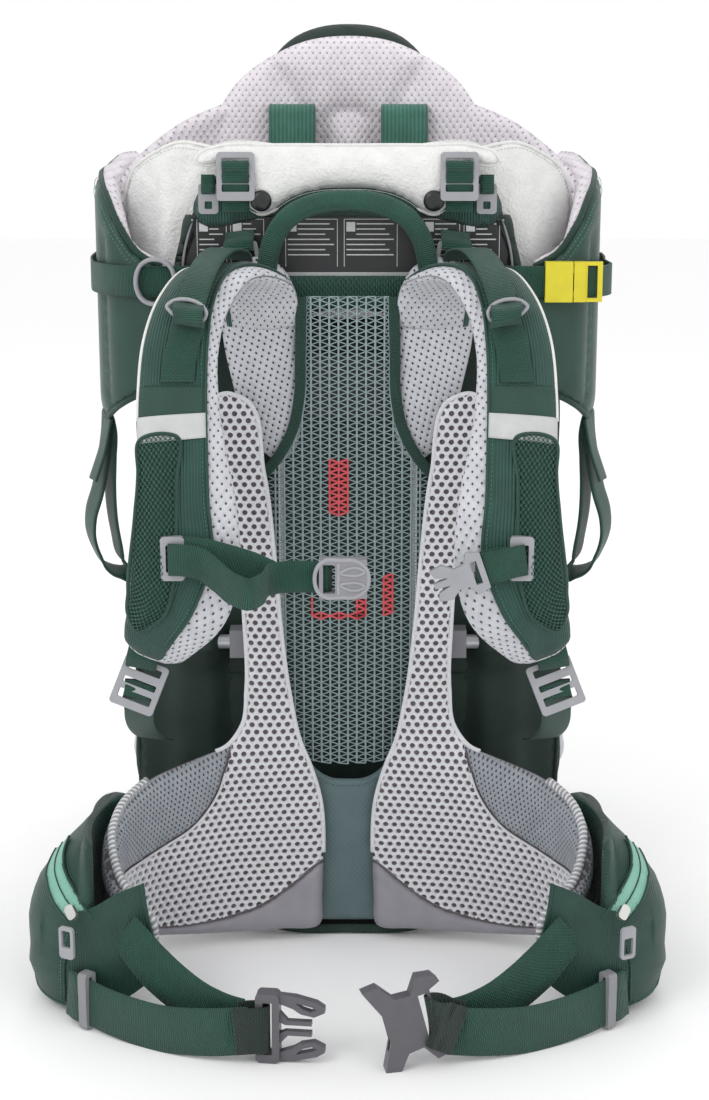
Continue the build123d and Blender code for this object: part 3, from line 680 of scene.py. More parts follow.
hem_top = [(-0.01, 0.078), (0.004, 0.074), (0.034, 0.051), (0.061, 0.035), (0.09, 0.028),
           (0.122, 0.027), (0.16, 0.033),
           (0.2, 0.043), (0.24, 0.053), (0.27, 0.056), (tip + 0.004, 0.056)]

fine_from, fine_under = 0.079, 0.185  # the fine knit begins this far round, and below this height
core_yarn = yarn("pad_core", "4a4347", "7b7276", 0.85, 0.1, 0.0018)
knit_yarn = yarn("spacer_knit", "c4c5ca", "e4e4e8", 0.72, 0.3, 0.003)
rim_yarn, rim_tree, rim_shader = surface("braided_rim", 0.75, sheen=0.2)
rim_chart = chart_axes(rim_tree)
twist = calc(rim_tree, "SINE", calc(rim_tree, "ADD", calc(rim_tree, "MULTIPLY", rim_chart[1], 1500.0),
                                    calc(rim_tree, "MULTIPLY", rim_chart[0], 420.0)))
# Painted shade: the braid's tone follows its twist, darker in the furrows between strands and lighter on
# their crowns.
strand_shade = calc(rim_tree, "MULTIPLY_ADD", twist, 0.5)
tint(rim_tree, rim_shader, blend_shades(rim_tree, strand_shade, shade("8d9096"), shade("e2e2e4")))
raise_by(rim_tree, rim_shader, twist, 0.0008, 0.8)
hem_cloth = folded_cloth("hem_cloth", "85828a", "9b98a0", depth=0.0002)


def pinhole_knit(name, dark, light, hole, across, along, low=0.55, high=0.8, turn=0.0, rough=0.75):
    """Fine spacer knit: a soft face with small oval pin holes in a staggered grid, in metres."""
    made, tree, shader = surface(name, rough, sheen=0.35)
    flat = node(tree, "VectorRotate", {0: node(tree, "UVMap", uv_map="chart"), "Angle": math.radians(turn)},
                rotation_type="Z_AXIS")
    split = node(tree, "SeparateXYZ", {0: flat})
    grid = calc(tree, "MULTIPLY", wave(tree, split.outputs[0], across), wave(tree, split.outputs[1], along))
    mask = node(tree, "MapRange", {"Value": grid, "From Min": low, "From Max": high})
    tone = blend_shades(tree, speckle(tree, 0.012, 3.0), shade(dark), shade(light))
    mix = node(tree, "MixRGB", {0: mask, 1: tone, 2: shade(hole)})
    tint(tree, shader, mix)
    fuzz = calc(tree, "MULTIPLY", speckle(tree, 0.0006), 0.35)
    raise_by(tree, shader, calc(tree, "SUBTRACT", fuzz, calc(tree, "MAXIMUM", grid, -0.3)), 0.0007, 0.9)
    return made


def open_knit(name, region, chart, lift, pitch, row, hole, material, turn=0.0, depth=0.0028, proud=0.0006):
    """Spacer knit with real open cells over a region of a chart. Cells are pitch apart in a row and
    rows are row apart; hole is the half width and half height of each opening."""
    region = np.asarray(region, float)
    mid = region.mean(0)
    c, s = math.cos(math.radians(turn)), math.sin(math.radians(turn))
    spin = np.array([[c, -s], [s, c]])
    local = (region - mid) @ spin
    low, high = local.min(0) - pitch, local.max(0) + pitch
    centres = np.array([(x + (k % 2) * pitch / 2, y) for k, y in enumerate(np.arange(low[1], high[1], row))
                        for x in np.arange(low[0], high[0], pitch)])
    centres = centres @ spin.T + mid
    rim = nearest_on(region, centres)[0]
    centres = centres[contains(region, centres) | (rim < 0.3 * row)]
    y1 = (pitch ** 2 / 4 + row ** 2) / (2 * row)
    y2 = row - y1
    corners = np.array([(0, y1), (pitch / 2, y2), (pitch / 2, -y2), (0, -y1),
                        (-pitch / 2, -y2), (-pitch / 2, y2)])
    outer = np.stack([corners, (corners + np.roll(corners, -1, 0)) / 2], 1).reshape(-1, 2)
    angle = np.arctan2(outer[:, 1] / hole[1], outer[:, 0] / hole[0])
    inner = np.stack([np.cos(angle) * hole[0], np.sin(angle) * hole[1]], 1)
    rings = np.stack([outer, (outer * 0.35 + inner * 0.65), inner, inner * 0.88]) @ spin.T
    flat = centres[:, None, None, :] + rings[None]
    shape = flat.shape
    flat = flat.reshape(-1, 2)
    outside = ~contains(region, flat)
    near = nearest_on(region, flat[outside])[1]
    flat[outside] = near
    height = lift(flat[:, 0], flat[:, 1]).reshape(shape[:3])
    height = height + np.array([proud, proud * 0.8, 0, -depth])[None, :, None]
    place, normal = chart(flat[:, 0], flat[:, 1])
    points = place + normal * height.reshape(-1, 1)
    n = len(centres)
    base = np.arange(n)[:, None, None] * 48 + np.arange(3)[None, :, None] * 12
    k = np.arange(12)[None, None, :]
    quads = [base + k, base + 12 + k, base + 12 + (k + 1) % 12, base + (k + 1) % 12]
    faces = np.stack(quads, -1).reshape(-1, 4)
    made = mesh_piece(name, points, faces, material, flat)
    shell = bmesh.new()
    shell.from_mesh(made.data)
    bmesh.ops.remove_doubles(shell, verts=shell.verts, dist=2e-5)
    bmesh.ops.dissolve_degenerate(shell, dist=1e-6, edges=shell.edges)
    bmesh.ops.recalc_face_normals(shell, faces=shell.faces)
    shell.to_mesh(made.data)
    shell.free()
    return made


fine_knit = pinhole_knit("fine_rim_knit", "858a92", "a3a8b0", "23262b", 0.0042, 0.0078, 0.5, 0.72, 18)
pad_puff = 0.016


def pad_crown(u, v):
    """How full the pad stands: nothing at its edge, one over its middle."""
    rim = nearest_on(pad_edge, np.stack([u, v], -1))[0]
    return np.sqrt(np.maximum(0, 1 - (1 - np.clip(rim / pad_puff, 0, 1)) ** 2))


def side_of(line, spots):
    """Which spots lie above a line of (distance, height) points."""
    line = np.array(line)
    return spots[:, 1] > np.interp(spots[:, 0], line[:, 0], line[:, 1])


def part_of(above=None, below=None):
    """The pad's outline cut above or below lines across it."""
    dense = flat_course(pad_edge, 900, True)
    keep = np.ones(len(dense), bool)
    if above is not None:
        keep &= side_of(above, dense) & (dense[:, 0] > above[0][0]) & (dense[:, 1] < fine_under)
    if below is not None:
        keep &= ~side_of(below, dense)
    start = int(np.argmax(keep & ~np.roll(keep, 1)))
    kept = np.roll(dense, -start, 0)[np.roll(keep, -start)]
    line = np.array(above if above is not None else below, float)
    cut = flat_course(line, 120)
    cut = cut[contains(pad_edge, cut)]
    if np.linalg.norm(cut[0] - kept[-1]) > np.linalg.norm(cut[-1] - kept[-1]):
        cut = cut[::-1]
    return np.vstack([kept, cut])


fine_region, hem_region = part_of(above=fine_low), part_of(below=hem_top)


def coarse_mask(spots):
    """Which spots lie on the open-celled face."""
    fine = side_of(fine_low, spots) & (spots[:, 0] > fine_from) & (spots[:, 1] < fine_under)
    return ~fine & side_of(hem_top, spots)


def coarse_region():
    """The outline of the open-celled face: the pad less its fine top and its hem."""
    dense = flat_course(pad_edge, 900, True)
    open_part = coarse_mask(dense)
    start = int(np.argmax(open_part))
    stop = start + int(np.argmin(open_part[start:]))
    cuts = []
    for line in (fine_low, hem_top[::-1]):
        cut = flat_course(line, 160)
        cuts.append(cut[contains(pad_edge, cut)])
    return np.vstack([dense[start:stop]] + cuts)


face_region = coarse_region()
both_sides = ((-1, "left"), (1, "right"))
for side, end in both_sides:
    chart_here = back_chart(side)
    core = quilt("back_pad_core_" + end, pad_edge, core_yarn, chart_here, 0.0036, 0.0062,
                 puff=pad_puff, step=0.005)
    cells = open_knit("back_pad_knit_" + end, face_region, chart_here, lambda u,
                      v: 0.0052 * pad_crown(u, v) + 0.0006,
                      0.0074, 0.0058, (0.0024, 0.0024), knit_yarn)
    curl = quilt("fin_top_" + end, fine_region, fine_knit, back_chart(side, 0.0015),
                 0.0085, 0.009, puff=0.022)
    hem = quilt("fin_hem_" + end, hem_region, hem_cloth, back_chart(side, 0.0008), 0.0062, 0.0085, puff=0.014)
    inner = pad_edge[(pad_edge[:, 1] > 0.078) & (pad_edge[:, 0] < 0.096)]
    place, normal = chart_here(inner[:, 0], inner[:, 1])
    trim = [piping("pad_trim", place + normal * 0.001, 0.0021, knit_yarn, 7)]
    outer = [(0.155, 0.1582), (0.185, 0.1475), (0.213, 0.131), (0.239, 0.111), (0.265, 0.095),
             (tip - 0.002, 0.083),
             (tip + 0.0008, 0.066), (tip - 0.002, 0.05)]
    lane = flat_course(outer, 90)
    place, normal = chart_here(lane[:, 0], lane[:, 1])
    rim = piping("pad_rim", place + normal * 0.001, 0.0036, rim_yarn, 12)
    for line, radius in ((fine_low[1:], 0.0011), (hem_top[1:], 0.0009)):
        lane = flat_course(line, 130)
        lane = lane[contains(pad_edge, lane)]
        place, normal = chart_here(lane[:, 0], lane[:, 1])
        height = 0.0062 * pad_crown(lane[:, 0], lane[:, 1])[:, None]
        trim.append(piping("pad_seam", place + normal * (height - 0.0006), radius, knit_yarn
                           if radius > 0.001 else core_yarn, 6))
    for piece in [core, cells, curl, hem, rim, joined("pad_trim_" + end, trim)]:
        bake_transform(piece)
    rim.name = "fin_rim_" + end
    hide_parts(*(("back_bands", "lumbar_pads") if side < 0 else ()), "hip_fin_" + end)

# ---- Shoulder yoke pads --------------------------------------------------------------------------
# Two kidney-shaped pads behind the strap crowns, faced with a pin-holed spacer knit that folds over
# a short dart near the top. They slide on the rails with the harness.

yoke_knit = pinhole_knit("yoke_knit", "b9bbc3", "d5d6dc", "1b1d20", 0.0062, 0.0084, 0.62, 0.78, -24)
yoke_half = [(38, 500), (38, 440), (41, 425), (48, 414), (58, 412), (67, 417), (77, 430), (85, 447),
             (94, 479), (101, 520),
             (98, 556), (84, 574), (66, 577), (50, 566), (41, 545), (38, 520)]
for side, end in both_sides:
    dart = from_mm([(92, 533), (80, 540), (66, 540), (52, 533)], side)
    pad = quilt("yoke_pad_" + end, from_mm(yoke_half, side), yoke_knit, flat_chart(-0.0075),
                0.0062, 0.0045, [dart], puff=0.024, dip=0.5)
    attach(pad, "harness")
    if side < 0:
        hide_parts("shoulder_yoke")

# ---- Shoulder straps -----------------------------------------------------------------------------
# Each strap is foam with a pin-holed knit underside that shows along its inner edge, and a ribbed
# green face. It carries a lifter webbing with its loop, a reflective band, a stretch mesh pocket
# with a rolled edge, and a stitched webbing tab at its tip.

strap_rows = [
    (67, -9, -51, 0, 56, 10, -28), (70, -22, -24, 0, 58, 12, -26), (82, -44, -6, 0.5, 58, 14, -20),
    (101, -70, -6, 0.4, 56, 14, -14), (116, -88, -24, 0.2, 54, 14, -17), (125, -103, -52, 0, 56, 14, -20),
    (127, -118, -92, 0, 60, 14, -21), (124, -131, -132, 0, 66, 14, -19), (121, -139, -167, 0, 74, 14, -17),
    (121, -144, -207, 0, 80, 13, -19), (127, -144, -244, 0, 76, 12, -11), (143, -134, -275, 0, 58, 11, -7),
    (153, -126, -294, 0, 40, 10, -8)]
crown_z, strap_count = 572, 300
strap_line = course([(x * mm, y * mm, (crown_z + z) * mm, turn, w * mm, t * mm, g * mm)
                     for x, y, z, turn, w, t, g in strap_rows], strap_count)
strap_run = np.concatenate([[0], np.cumsum(np.linalg.norm(np.diff(strap_line[:, :3], axis=0), axis=1))])
strap_top = int(np.argmax(strap_line[:, 2]))
full = 2.6  # how square the strap's padded section is
face_skin = 0.0016  # the face cloth's height over the foam


def strap_at(z):
    """Run along the strap where its front is at height z millimetres."""
    return float(np.interp(-z * mm, -strap_line[strap_top:, 2], strap_run[strap_top:]))


def strap_chart(side):
    """Chart of a strap: metres outwards from its middle line, and metres along it, on its mid plane."""
    way = unit(np.gradient(strap_line[:, :3], axis=0))
    across = unit(np.stack([np.ones(strap_count), strap_line[:, 3], np.zeros(strap_count)], -1))
    across = unit(across - way * (across * way).sum(1, keepdims=True))
    normal = np.cross(way, across)

    def place(u, v):
        u, v = np.asarray(u, float), np.asarray(v, float)
        at = [np.stack([np.interp(v, strap_run, field[:, k]) for k in range(3)], -1)
              for field in (strap_line, across, normal)]
        flip = np.array([side, 1, 1])
        return (at[0] + at[1] * u[..., None]) * flip, unit(at[2]) * flip
    return place


def strap_width(v):
    """Half the strap's width, by distance along it."""
    return np.interp(v, strap_run, strap_line[:, 4]) / 2


def strap_face(u, v, extra=0.0):
    """Height of the strap's face over its mid plane."""
    half = strap_width(v) + extra
    thick = np.interp(v, strap_run, strap_line[:, 5]) / 2 + extra
    return thick * np.maximum(0.0, 1 - np.abs(np.asarray(u) / half) ** full) ** (1 / full)


ribbed_green = folded_cloth("ribbed_green", "153d35", "295b50", 0.0023, 0, 0.5, 0.35, 0.0005)
plain_green = folded_cloth("plain_green", "12392f", "205042", 0.0012, 1, 0.55, 0.3, 0.00015)
lip_knit = pinhole_knit("strap_underside_knit", "b3b5bc", "d3d4d9", "3a3c40", 0.0062, 0.0088, 0.66, 0.85, 10)
white_cord = yarn("white_piping", "cfd0cc", "ecece8", 0.6)
silver_band = yarn("reflective_band", "aeb0b2", "cbcccb", 0.38, 0.1, 0.012)


def woven(name, dark, light, rib=0.0013):
    """Heavy woven webbing: fine cross ribs, broken by a slanting twill, with painted shade in its low
    threads.
    """
    made, tree, shader = surface(name, 0.5, sheen=0.25)
    chart_uv = chart_axes(tree)
    weft = wave(tree, chart_uv[1], rib)
    slant = calc(tree, "ADD", chart_uv[1], calc(tree, "MULTIPLY", chart_uv[0], 0.8))
    twill = calc(tree, "MULTIPLY", wave(tree, slant, rib * 1.9), 0.6)
    height = calc(tree, "ADD", weft, twill)
    # Painted shade: the colour follows the weave's height, darker in the low threads and lighter on the
    # raised ones, plus random wear noise.
    amount = node(tree, "MapRange", {"Value": height, "From Min": -1.4, "From Max": 1.2})
    weave_shade_and_wear = calc(tree, "MULTIPLY_ADD", speckle(tree, 0.01), 0.5)
    tree.links.new(amount.outputs[0], weave_shade_and_wear.inputs[2])
    tint(tree, shader, blend_shades(tree, calc(tree, "SUBTRACT", weave_shade_and_wear, 0.25), shade(dark), shade(light)))
    raise_by(tree, shader, height, 0.0004, 0.9)
    return made


green_webbing = woven("green_webbing", "062a22", "175947")


def ribbon(name, centres, across, width, thick, material):
    """Flat webbing: a rounded bar section carried along centres, with its width along across."""
    centres = np.asarray(centres, float)
    run = unit(np.gradient(centres, axis=0))
    across = np.broadcast_to(np.asarray(across, float), centres.shape)
    across = unit(across - run * (across * run).sum(1, keepdims=True))
    normal = np.cross(run, across)
    width = np.broadcast_to(np.asarray(width, float), (len(centres),))[:, None, None] / 2
    cross = [(-1, 0), (-0.97, 1), (-0.5, 1), (0, 1), (0.5, 1), (0.97, 1), (1, 0), (0.97, -1), (0.5, -1),
             (0, -1), (-0.5, -1), (-0.97, -1)]
    cross = np.array(cross, float)
    rings = centres[:, None] + across[:, None] * cross[None, :, :1] * width
    rings = rings + normal[:, None] * cross[None, :, 1:] * thick / 2
    return skin(name, rings, material)


def band_on(name, chart_here, face, us, vs, thick, material, lift=0.0):
    """A flat patch lying on a padded face, between cross lines: us gives its two edges along vs."""
    vs = np.asarray(vs, float)
    rows_made = []
    for v, (a, b) in zip(vs, us):
        across = np.linspace(a, b, 14)
        place, normal = chart_here(across, np.full(14, v))
        base = face(across, np.full(14, v)) + lift
        top = place + normal * (base + thick)[:, None]
        low = place + normal * (base - 0.0006)[:, None]
        rows_made.append(np.vstack([top, low[::-1]]))
    return skin(name, rows_made, material)


def strap_loft(name, side, material, start, end, inner, extra, count=150):
    """A shell along the strap: the whole pad, or the face from its inner line round the outer edge."""
    chart_here = strap_chart(side)
    rings = []
    for v in np.linspace(start, end, count):
        half = float(strap_width(v)) + extra
        fade = min(1.0, math.sqrt(max(0.0, 1 - (1 - min(1, (end - v) / 0.012)) ** 2)) + 0.02)
        turn = np.linspace(0, math.pi, 26)
        u = -half * np.cos(turn)
        if inner:
            low = float(np.interp(v, strap_run, strap_line[:, 6]))
            u = low + (half - low) * (0.5 - 0.5 * np.cos(turn)) ** 0.8
        top = strap_face(u, np.full_like(u, v), extra)
        if inner:
            under = top - np.minimum(0.0028, np.maximum(top, 0.0))
            under[-6:] = -top[-6:] * 0.8
            ring_u, ring_h = np.concatenate([u, u[::-1][1:]]), np.concatenate([top, under[::-1][1:]])
        else:
            ring_u, ring_h = np.concatenate([u, u[::-1][1:-1]]), np.concatenate([top, -top[::-1][1:-1]])
        place, normal = chart_here(ring_u * fade, np.full_like(ring_u, v))
        rings.append(place + normal * (ring_h * fade)[:, None])
    return skin(name, rings, material)


strap_end = float(strap_run[-1])
for side, end in both_sides:
    chart_here = strap_chart(side)
    pad = strap_loft("strap_pad_" + end, side, lip_knit, 0.0, strap_end, False, 0.0)
    face = strap_loft("strap_face_" + end, side, ribbed_green, 0.004, strap_end - 0.002, True, face_skin)
    extras = []

    def on_face(u, v, more=0.0):
        u, v = np.broadcast_arrays(np.asarray(u, float), np.asarray(v, float))
        place, normal = chart_here(u, v)
        return place + normal * (strap_face(u, v, face_skin) + more)[:, None]

    lane = np.linspace(0.03, strap_at(466), 90)
    edge_cord = piping("strap_edge_piping_" + end, on_face(strap_width(lane) + 0.0008, lane),
                       0.0013, white_cord, 8)
    lane = np.linspace(0.02, strap_end - 0.02, 160)
    inner_line = np.interp(lane, strap_run, strap_line[:, 6])
    extras.append(piping("strap_inner_roll", on_face(inner_line + 0.0004, lane), 0.0013, plain_green, 8))
    extras.append(stitching("strap_inner_stitch", on_face(inner_line + 0.0036, lane, 0.0003), thread_green,
        seam_gap, seam_thread))
    seam_v = strap_at(489)
    seam_u = np.linspace(float(np.interp(seam_v, strap_run, strap_line[:, 6])),
                         float(strap_width(seam_v)) - 0.001, 30)
    for step_down in (0.0, 0.0032):
        extras.append(stitching("strap_seam", on_face(seam_u, seam_v + step_down, 0.0002),
            thread_dark, 0.003, seam_thread))
    plain_v = np.linspace(strap_at(488), strap_at(466), 14)
    plain_u = [(float(np.interp(v, strap_run, strap_line[:, 6])) + 0.001, float(strap_width(v)) - 0.0004)
               for v in plain_v]
    extras.append(band_on("strap_plain_patch", chart_here, lambda u, v: strap_face(u, v, face_skin), plain_u,
                          plain_v, 0.0006, plain_green))
    strap_details = joined("strap_details_" + end, extras)
    bright_v = np.linspace(strap_at(468), strap_at(450), 12)
    bright_u = [(float(np.interp(v, strap_run, strap_line[:, 6])) + 0.0004, float(strap_width(v)) + 0.0012)
                for v in bright_v]
    bright = band_on("strap_reflector_" + end, chart_here, lambda u, v: strap_face(u, v, 0.0022), bright_u,
                     bright_v, 0.0011, silver_band)

    mesh_yarn = bpy.data.materials.get("pocket_mesh") or yarn("pocket_mesh", "173c32", "2c5d4e", 0.6)
    pocket_region = [(0.002, strap_at(452)), (0.0315, strap_at(452)), (0.034, strap_at(430)),
                     (0.0385, strap_at(400)),
                     (0.042, strap_at(366)), (0.041, strap_at(330)), (0.034, strap_at(308)),
                     (0.022, strap_at(300)),
                     (0.012, strap_at(312)), (0.008, strap_at(345)), (0.008, strap_at(385)),
                     (0.006, strap_at(420))]
    pocket_region = flat_course(pocket_region, 160, True)

    def bulge(u, v):
        near = nearest_on(pocket_region, np.stack([u, v], -1))[0]
        cloth = strap_face(np.clip(u, -0.1, strap_width(v) * 0.97), v, face_skin)
        return cloth + 0.0012 + 0.007 * np.minimum(1, near / 0.014) ** 0.7

    net_pocket = open_knit("strap_mesh_pocket_" + end, pocket_region, chart_here, bulge, 0.0036, 0.0026,
                           (0.00125, 0.0018), mesh_yarn, turn=0, depth=0.0004, proud=0.0003)
    place, normal = chart_here(pocket_region[:, 0], pocket_region[:, 1])
    rolled = place + normal * bulge(pocket_region[:, 0], pocket_region[:, 1])[:, None]
    pocket_roll = piping("strap_pocket_roll_" + end, rolled, 0.0017, plain_green, 8, loop=True)
    lift_v = np.linspace(strap_at(545), strap_at(491), 16)
    lift_u = [(-0.0125 + 0.008 * f, 0.0125 + 0.010 * f) for f in np.linspace(-0.55, 0.1, 16)]
    tail = band_on("lifter_tail_" + end, chart_here, lambda u, v: strap_face(u, v, 0.0018), lift_u, lift_v,
                   0.0019, green_webbing)
    for piece, finish in ((pad, "spacer_mesh"), (face, "green_fabric"), (edge_cord, "white_fleece"),
                          (strap_details, "green_fabric"),
                          (bright, "white_fleece"), (net_pocket, "green_fabric"),
                          (pocket_roll, "green_fabric"), (tail, "green_webbing")):
        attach(piece, "harness")
    if side < 0:
        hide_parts("shoulder_straps")

# ---- Pack bag and front wall ---------------------------------------------------------------------
# The storage bag under the seat is a dark green cloth shell with a zip across its back, and the
# front wall is a stiffened cloth panel behind the net. Seams are bound, and the bag sags a little.

pack_green = folded_cloth("pack_green", "0a1f19", "132f26", 0.0, 0, 0.6, 0.25, 0.0004)
pack_pipe = folded_cloth("pack_piping", "0f2b22", "1a4034", 0.0018, 1)
bag_levels = [(26, 118, 62, 170, 0.9), (34, 140, 44, 196, 0.95), (60, 151, 36, 226, 1.0),
              (110, 158, 27.5, 248, 1.02),
              (170, 159, 27, 253, 1.03), (215, 158, 27, 250, 1.0), (236, 154, 29, 244, 0.95),
              (242, 146, 34, 236, 0.8)]
levels = course([(0, 0, z * mm, half * mm, front * mm, rear * mm, full_at)
                 for z, half, front, rear, full_at in bag_levels], 64)
rings = []
for row in levels:
    z, half, front, rear = row[2:6]
    turn = np.linspace(0, 2 * math.pi, 96, endpoint=False)
    c, s = np.cos(turn), np.sin(turn)
    x = (half + 0.021 * np.clip((-0.1 - s) / 0.5, 0, 1)) * np.sign(c) * np.abs(c) ** 0.42
    y = (front + rear) / 2 + (rear - front) / 2 * np.sign(s) * np.abs(s) ** np.where(s < 0, 0.36, 0.55)
    sag = 0.0022 * np.sin(5 * turn + 30 * z) * np.clip((0.236 - z) / 0.05, 0, 1) * (s > -0.75)
    rings.append(np.stack([x + c * sag, y + s * sag, np.full(96, z)], -1))
bag = skin("pack_bag", rings, pack_green)
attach(bag, "frame")
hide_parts("pack_body")
bag_trim = []
for k in (20, 56):
    ring = np.array(rings[k])
    ring = ring + unit(ring - ring.mean(0)) * 0.0006
    bag_trim.append(piping("bag_seam", ring, 0.0014, pack_pipe, 7, loop=True))
for k in (11, 37):
    lane = np.array([np.array(r)[k] + np.array([0, 0.0008, 0]) for r in rings[4:58]])
    bag_trim.append(piping("bag_corner_seam", lane, 0.0014, pack_pipe, 7))
zip_lane = np.array(rings[44])[11:38] + np.array([0, 0.001, 0])
zip_lane = course(zip_lane, 120)
bag_trim.append(ribbon("bag_zip_tape", zip_lane, (0, 0, 1), 0.022, 0.0012, pack_pipe))
bag_trim.append(piping("bag_zip_coil", zip_lane + np.array([0, 0.0012, 0]), 0.0021, dark_plastic, 6))
for off in (-0.0085, 0.0085):
    bag_trim.append(stitching("bag_zip_stitch", zip_lane + np.array([0, 0.0009, off]), thread_green))
bag_seams = joined("pack_bag_seams", bag_trim)
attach(bag_seams, "frame")

wall_half = [(0.5, 523), (148, 523), (160, 512), (171, 476), (174, 396), (178, 284), (181, 194),
             (180, 118), (170, 96), (0.5, 92)]


def wall_chart(u, v):
    """The front wall stands behind the frame; beside it, a sleeve of cloth covers the seat frame's bar."""
    place, normal = flat_chart(0.031)(u, v)
    beside = np.clip((np.abs(u) - 0.103) / 0.012, 0, 1)
    sleeve = 0.027 * np.exp(-((v - 0.25) / 0.017) ** 2) + 0.0065 / (1 + np.exp((v - 0.235) / 0.006))
    sag = 0.0012 * np.sin(26 * v + 40 * u) * beside
    forward = beside * sleeve * np.clip((0.162 - np.abs(u)) / 0.02, 0.25, 1) + sag
    return place - np.stack([0 * u, forward, 0 * u], -1), normal


wall = quilt("pack_front_wall", mirrored(wall_half), pack_green, wall_chart, 0.0026,
             0.003, puff=0.05, step=0.008)
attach(wall, "frame")
wall_side = flat_course([(146, 523), (160, 512), (171.5, 476), (174.5, 396), (178.5, 284),
    (181.5, 194), (180.5, 118)], 60)
wall_pipes = [piping("wall_piping", [(side * x * mm, 0.0295, z * mm) for x, z in wall_side],
                     0.0016, pack_pipe, 7) for side in (-1, 1)]
fold = course([(-120, 30, 38), (-60, 22, 7), (0, 21, 4.5), (60, 22, 7), (120, 30, 38)], 60) * mm
wall_pipes.append(ribbon("base_hem", fold + np.array([0, -0.0415, 0.0]), (0, 0.25, 1),
    0.007, 0.003, pack_pipe))
wall_trim = joined("pack_wall_trim", wall_pipes)
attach(wall_trim, "frame")

# ---- Cockpit -------------------------------------------------------------------------------------
# Green padded side shells wrap round the hoop. Their rims are faced inside with soft lilac spacer
# knit, and a padded wall closes the back.

lilac_knit = pinhole_knit("lilac_knit", "d3ccd4", "ece7ec", "8f8791", 0.0063, 0.0092, 0.68, 0.92)
shell_green = folded_cloth("shell_green", "0c2f27", "1a473b", 0.0, 0, 0.5, 0.3, 0.0004)
shell_rows = [(150, 4, 468, 568), (168, 7, 464, 578), (184, 14, 456, 600), (197, 34, 444, 626),
              (203, 62, 436, 634), (207, 150, 436, 640),
              (207, 200, 438, 643), (205, 230, 442, 645), (195, 249, 446, 645)]
shell_line = course([(x * mm, y * mm, 0, low * mm, high * mm) for x, y, low, high in shell_rows], 160)
shell_run = np.concatenate([[0], np.cumsum(np.linalg.norm(np.diff(shell_line[:, :2], axis=0), axis=1))])
shell_way = unit(np.gradient(shell_line[:, :2], axis=0))


def shell_chart(side, lift=0.0):
    """Chart of a cockpit side: distance backwards along the wall, and height; its face is outside."""
    def place(u, v):
        u, v = np.asarray(u, float), np.asarray(v, float)
        x, y = (np.interp(u, shell_run, shell_line[:, k]) for k in (0, 1))
        a, b = (np.interp(u, shell_run, shell_way[:, k]) for k in (0, 1))
        normal = unit(np.stack([side * b, -a, np.zeros_like(a)], -1))
        return np.stack([side * x, y, v], -1) + normal * lift, normal
    return place


shell_end = float(shell_run[-1])
shell_edge = [(s, float(np.interp(s, shell_run, shell_line[:, 4]))) for s in np.linspace(0.0, shell_end, 16)]
shell_low = [(s, float(np.interp(s, shell_run, shell_line[:, 3]))) for s in np.linspace(shell_end, 0.0, 14)]
rim_low = [(s, z - 0.052 - 0.2 * max(0, s - 0.1)) for s, z in shell_edge][::-1]
for side, end in both_sides:
    panel_seams = [[(0.052, 0.43), (0.056, 0.59)], [(0.15, 0.43), (0.16, 0.62)]]
    shell = quilt("cockpit_side_" + end, shell_edge + shell_low, shell_green, shell_chart(side),
                  0.0062, 0.003, panel_seams,
                  puff=0.022, step=0.006)
    rim = quilt("cockpit_rim_" + end, [(s, z + 0.004) for s, z in shell_edge] + rim_low, lilac_knit,
                shell_chart(side, -0.002), 0.001, 0.013,
                puff=0.03, step=0.006)
    trims = []
    for off, lift in ((-0.006, 0.0058), (-0.012, 0.0066)):
        lane = flat_course([(s, z + off) for s, z in shell_edge], 130)
        place, normal = shell_chart(side, lift)(lane[:, 0], lane[:, 1])
        trims.append(stitching("shell_stitch", place, thread_green, seam_gap, seam_thread))
    for s in (0.052, 0.152):
        lane = np.stack([np.linspace(s + 0.003, s + 0.006, 50), np.linspace(0.44, 0.575, 50)], -1)
        place, normal = shell_chart(side, 0.0046)(lane[:, 0], lane[:, 1])
        trims.append(stitching("shell_stitch", place, thread_green, seam_gap, seam_thread))
    lane = flat_course(shell_edge + shell_low, 300)
    place, normal = shell_chart(side, 0.0)(lane[:, 0], lane[:, 1])
    trims.append(piping("shell_binding", place, 0.0026, green_binding, 8))
    trim = joined("cockpit_stitching_" + end, trims)
    for piece, finish in ((shell, "green_fabric"), (rim, "lilac_mesh"), (trim, "green_fabric")):
        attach(piece, "frame")
    if side < 0:
        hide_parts("cockpit_sides")

rear_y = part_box("cockpit_back")[1].y - 0.003
rear_outline = mirrored([(0.5, 640), (120, 642), (188, 645), (198, 636), (199, 560), (197, 460), (190, 436),
    (150, 330), (143, 240), (136, 234), (0.5, 234)])


def rear_chart(u, v):
    """The cockpit's back wall bows a little, and faces backwards."""
    place, normal = flat_chart(rear_y)(u, v)
    return place + np.stack([np.zeros_like(u), 0.004 * np.cos(u * 8), np.zeros_like(u)], -1), -normal


rear_wall = quilt("cockpit_back_wall", rear_outline, shell_green, rear_chart, 0.007, 0.004,
                  [[(-0.075, 0.645), (-0.06, 0.45), (-0.075, 0.23)],
                   [(0.075, 0.645), (0.06, 0.45), (0.075, 0.23)],
                   [(-0.2, 0.45), (0.2, 0.45)]], puff=0.03, step=0.008)
lining = quilt("cockpit_back_lining", mirrored([(0.5, 632), (186, 636), (186, 460), (140, 440), (0.5, 440)]),
               lilac_knit,
               flat_chart(rear_y - 0.0045), 0.003, 0.002, puff=0.02, step=0.01)
loop_mm = ((-24, 262, 606), (-24, 268, 622), (-10, 271, 632), (10, 271, 632), (24, 268, 622), (24, 262, 606))
rear_loop = course([(x * mm, y * mm, z * mm) for x, y, z in loop_mm], 40)
rear_handle = ribbon("rear_loop", rear_loop, (0, 1, 0.2), 0.018, 0.002, green_webbing)
rear_trims = []
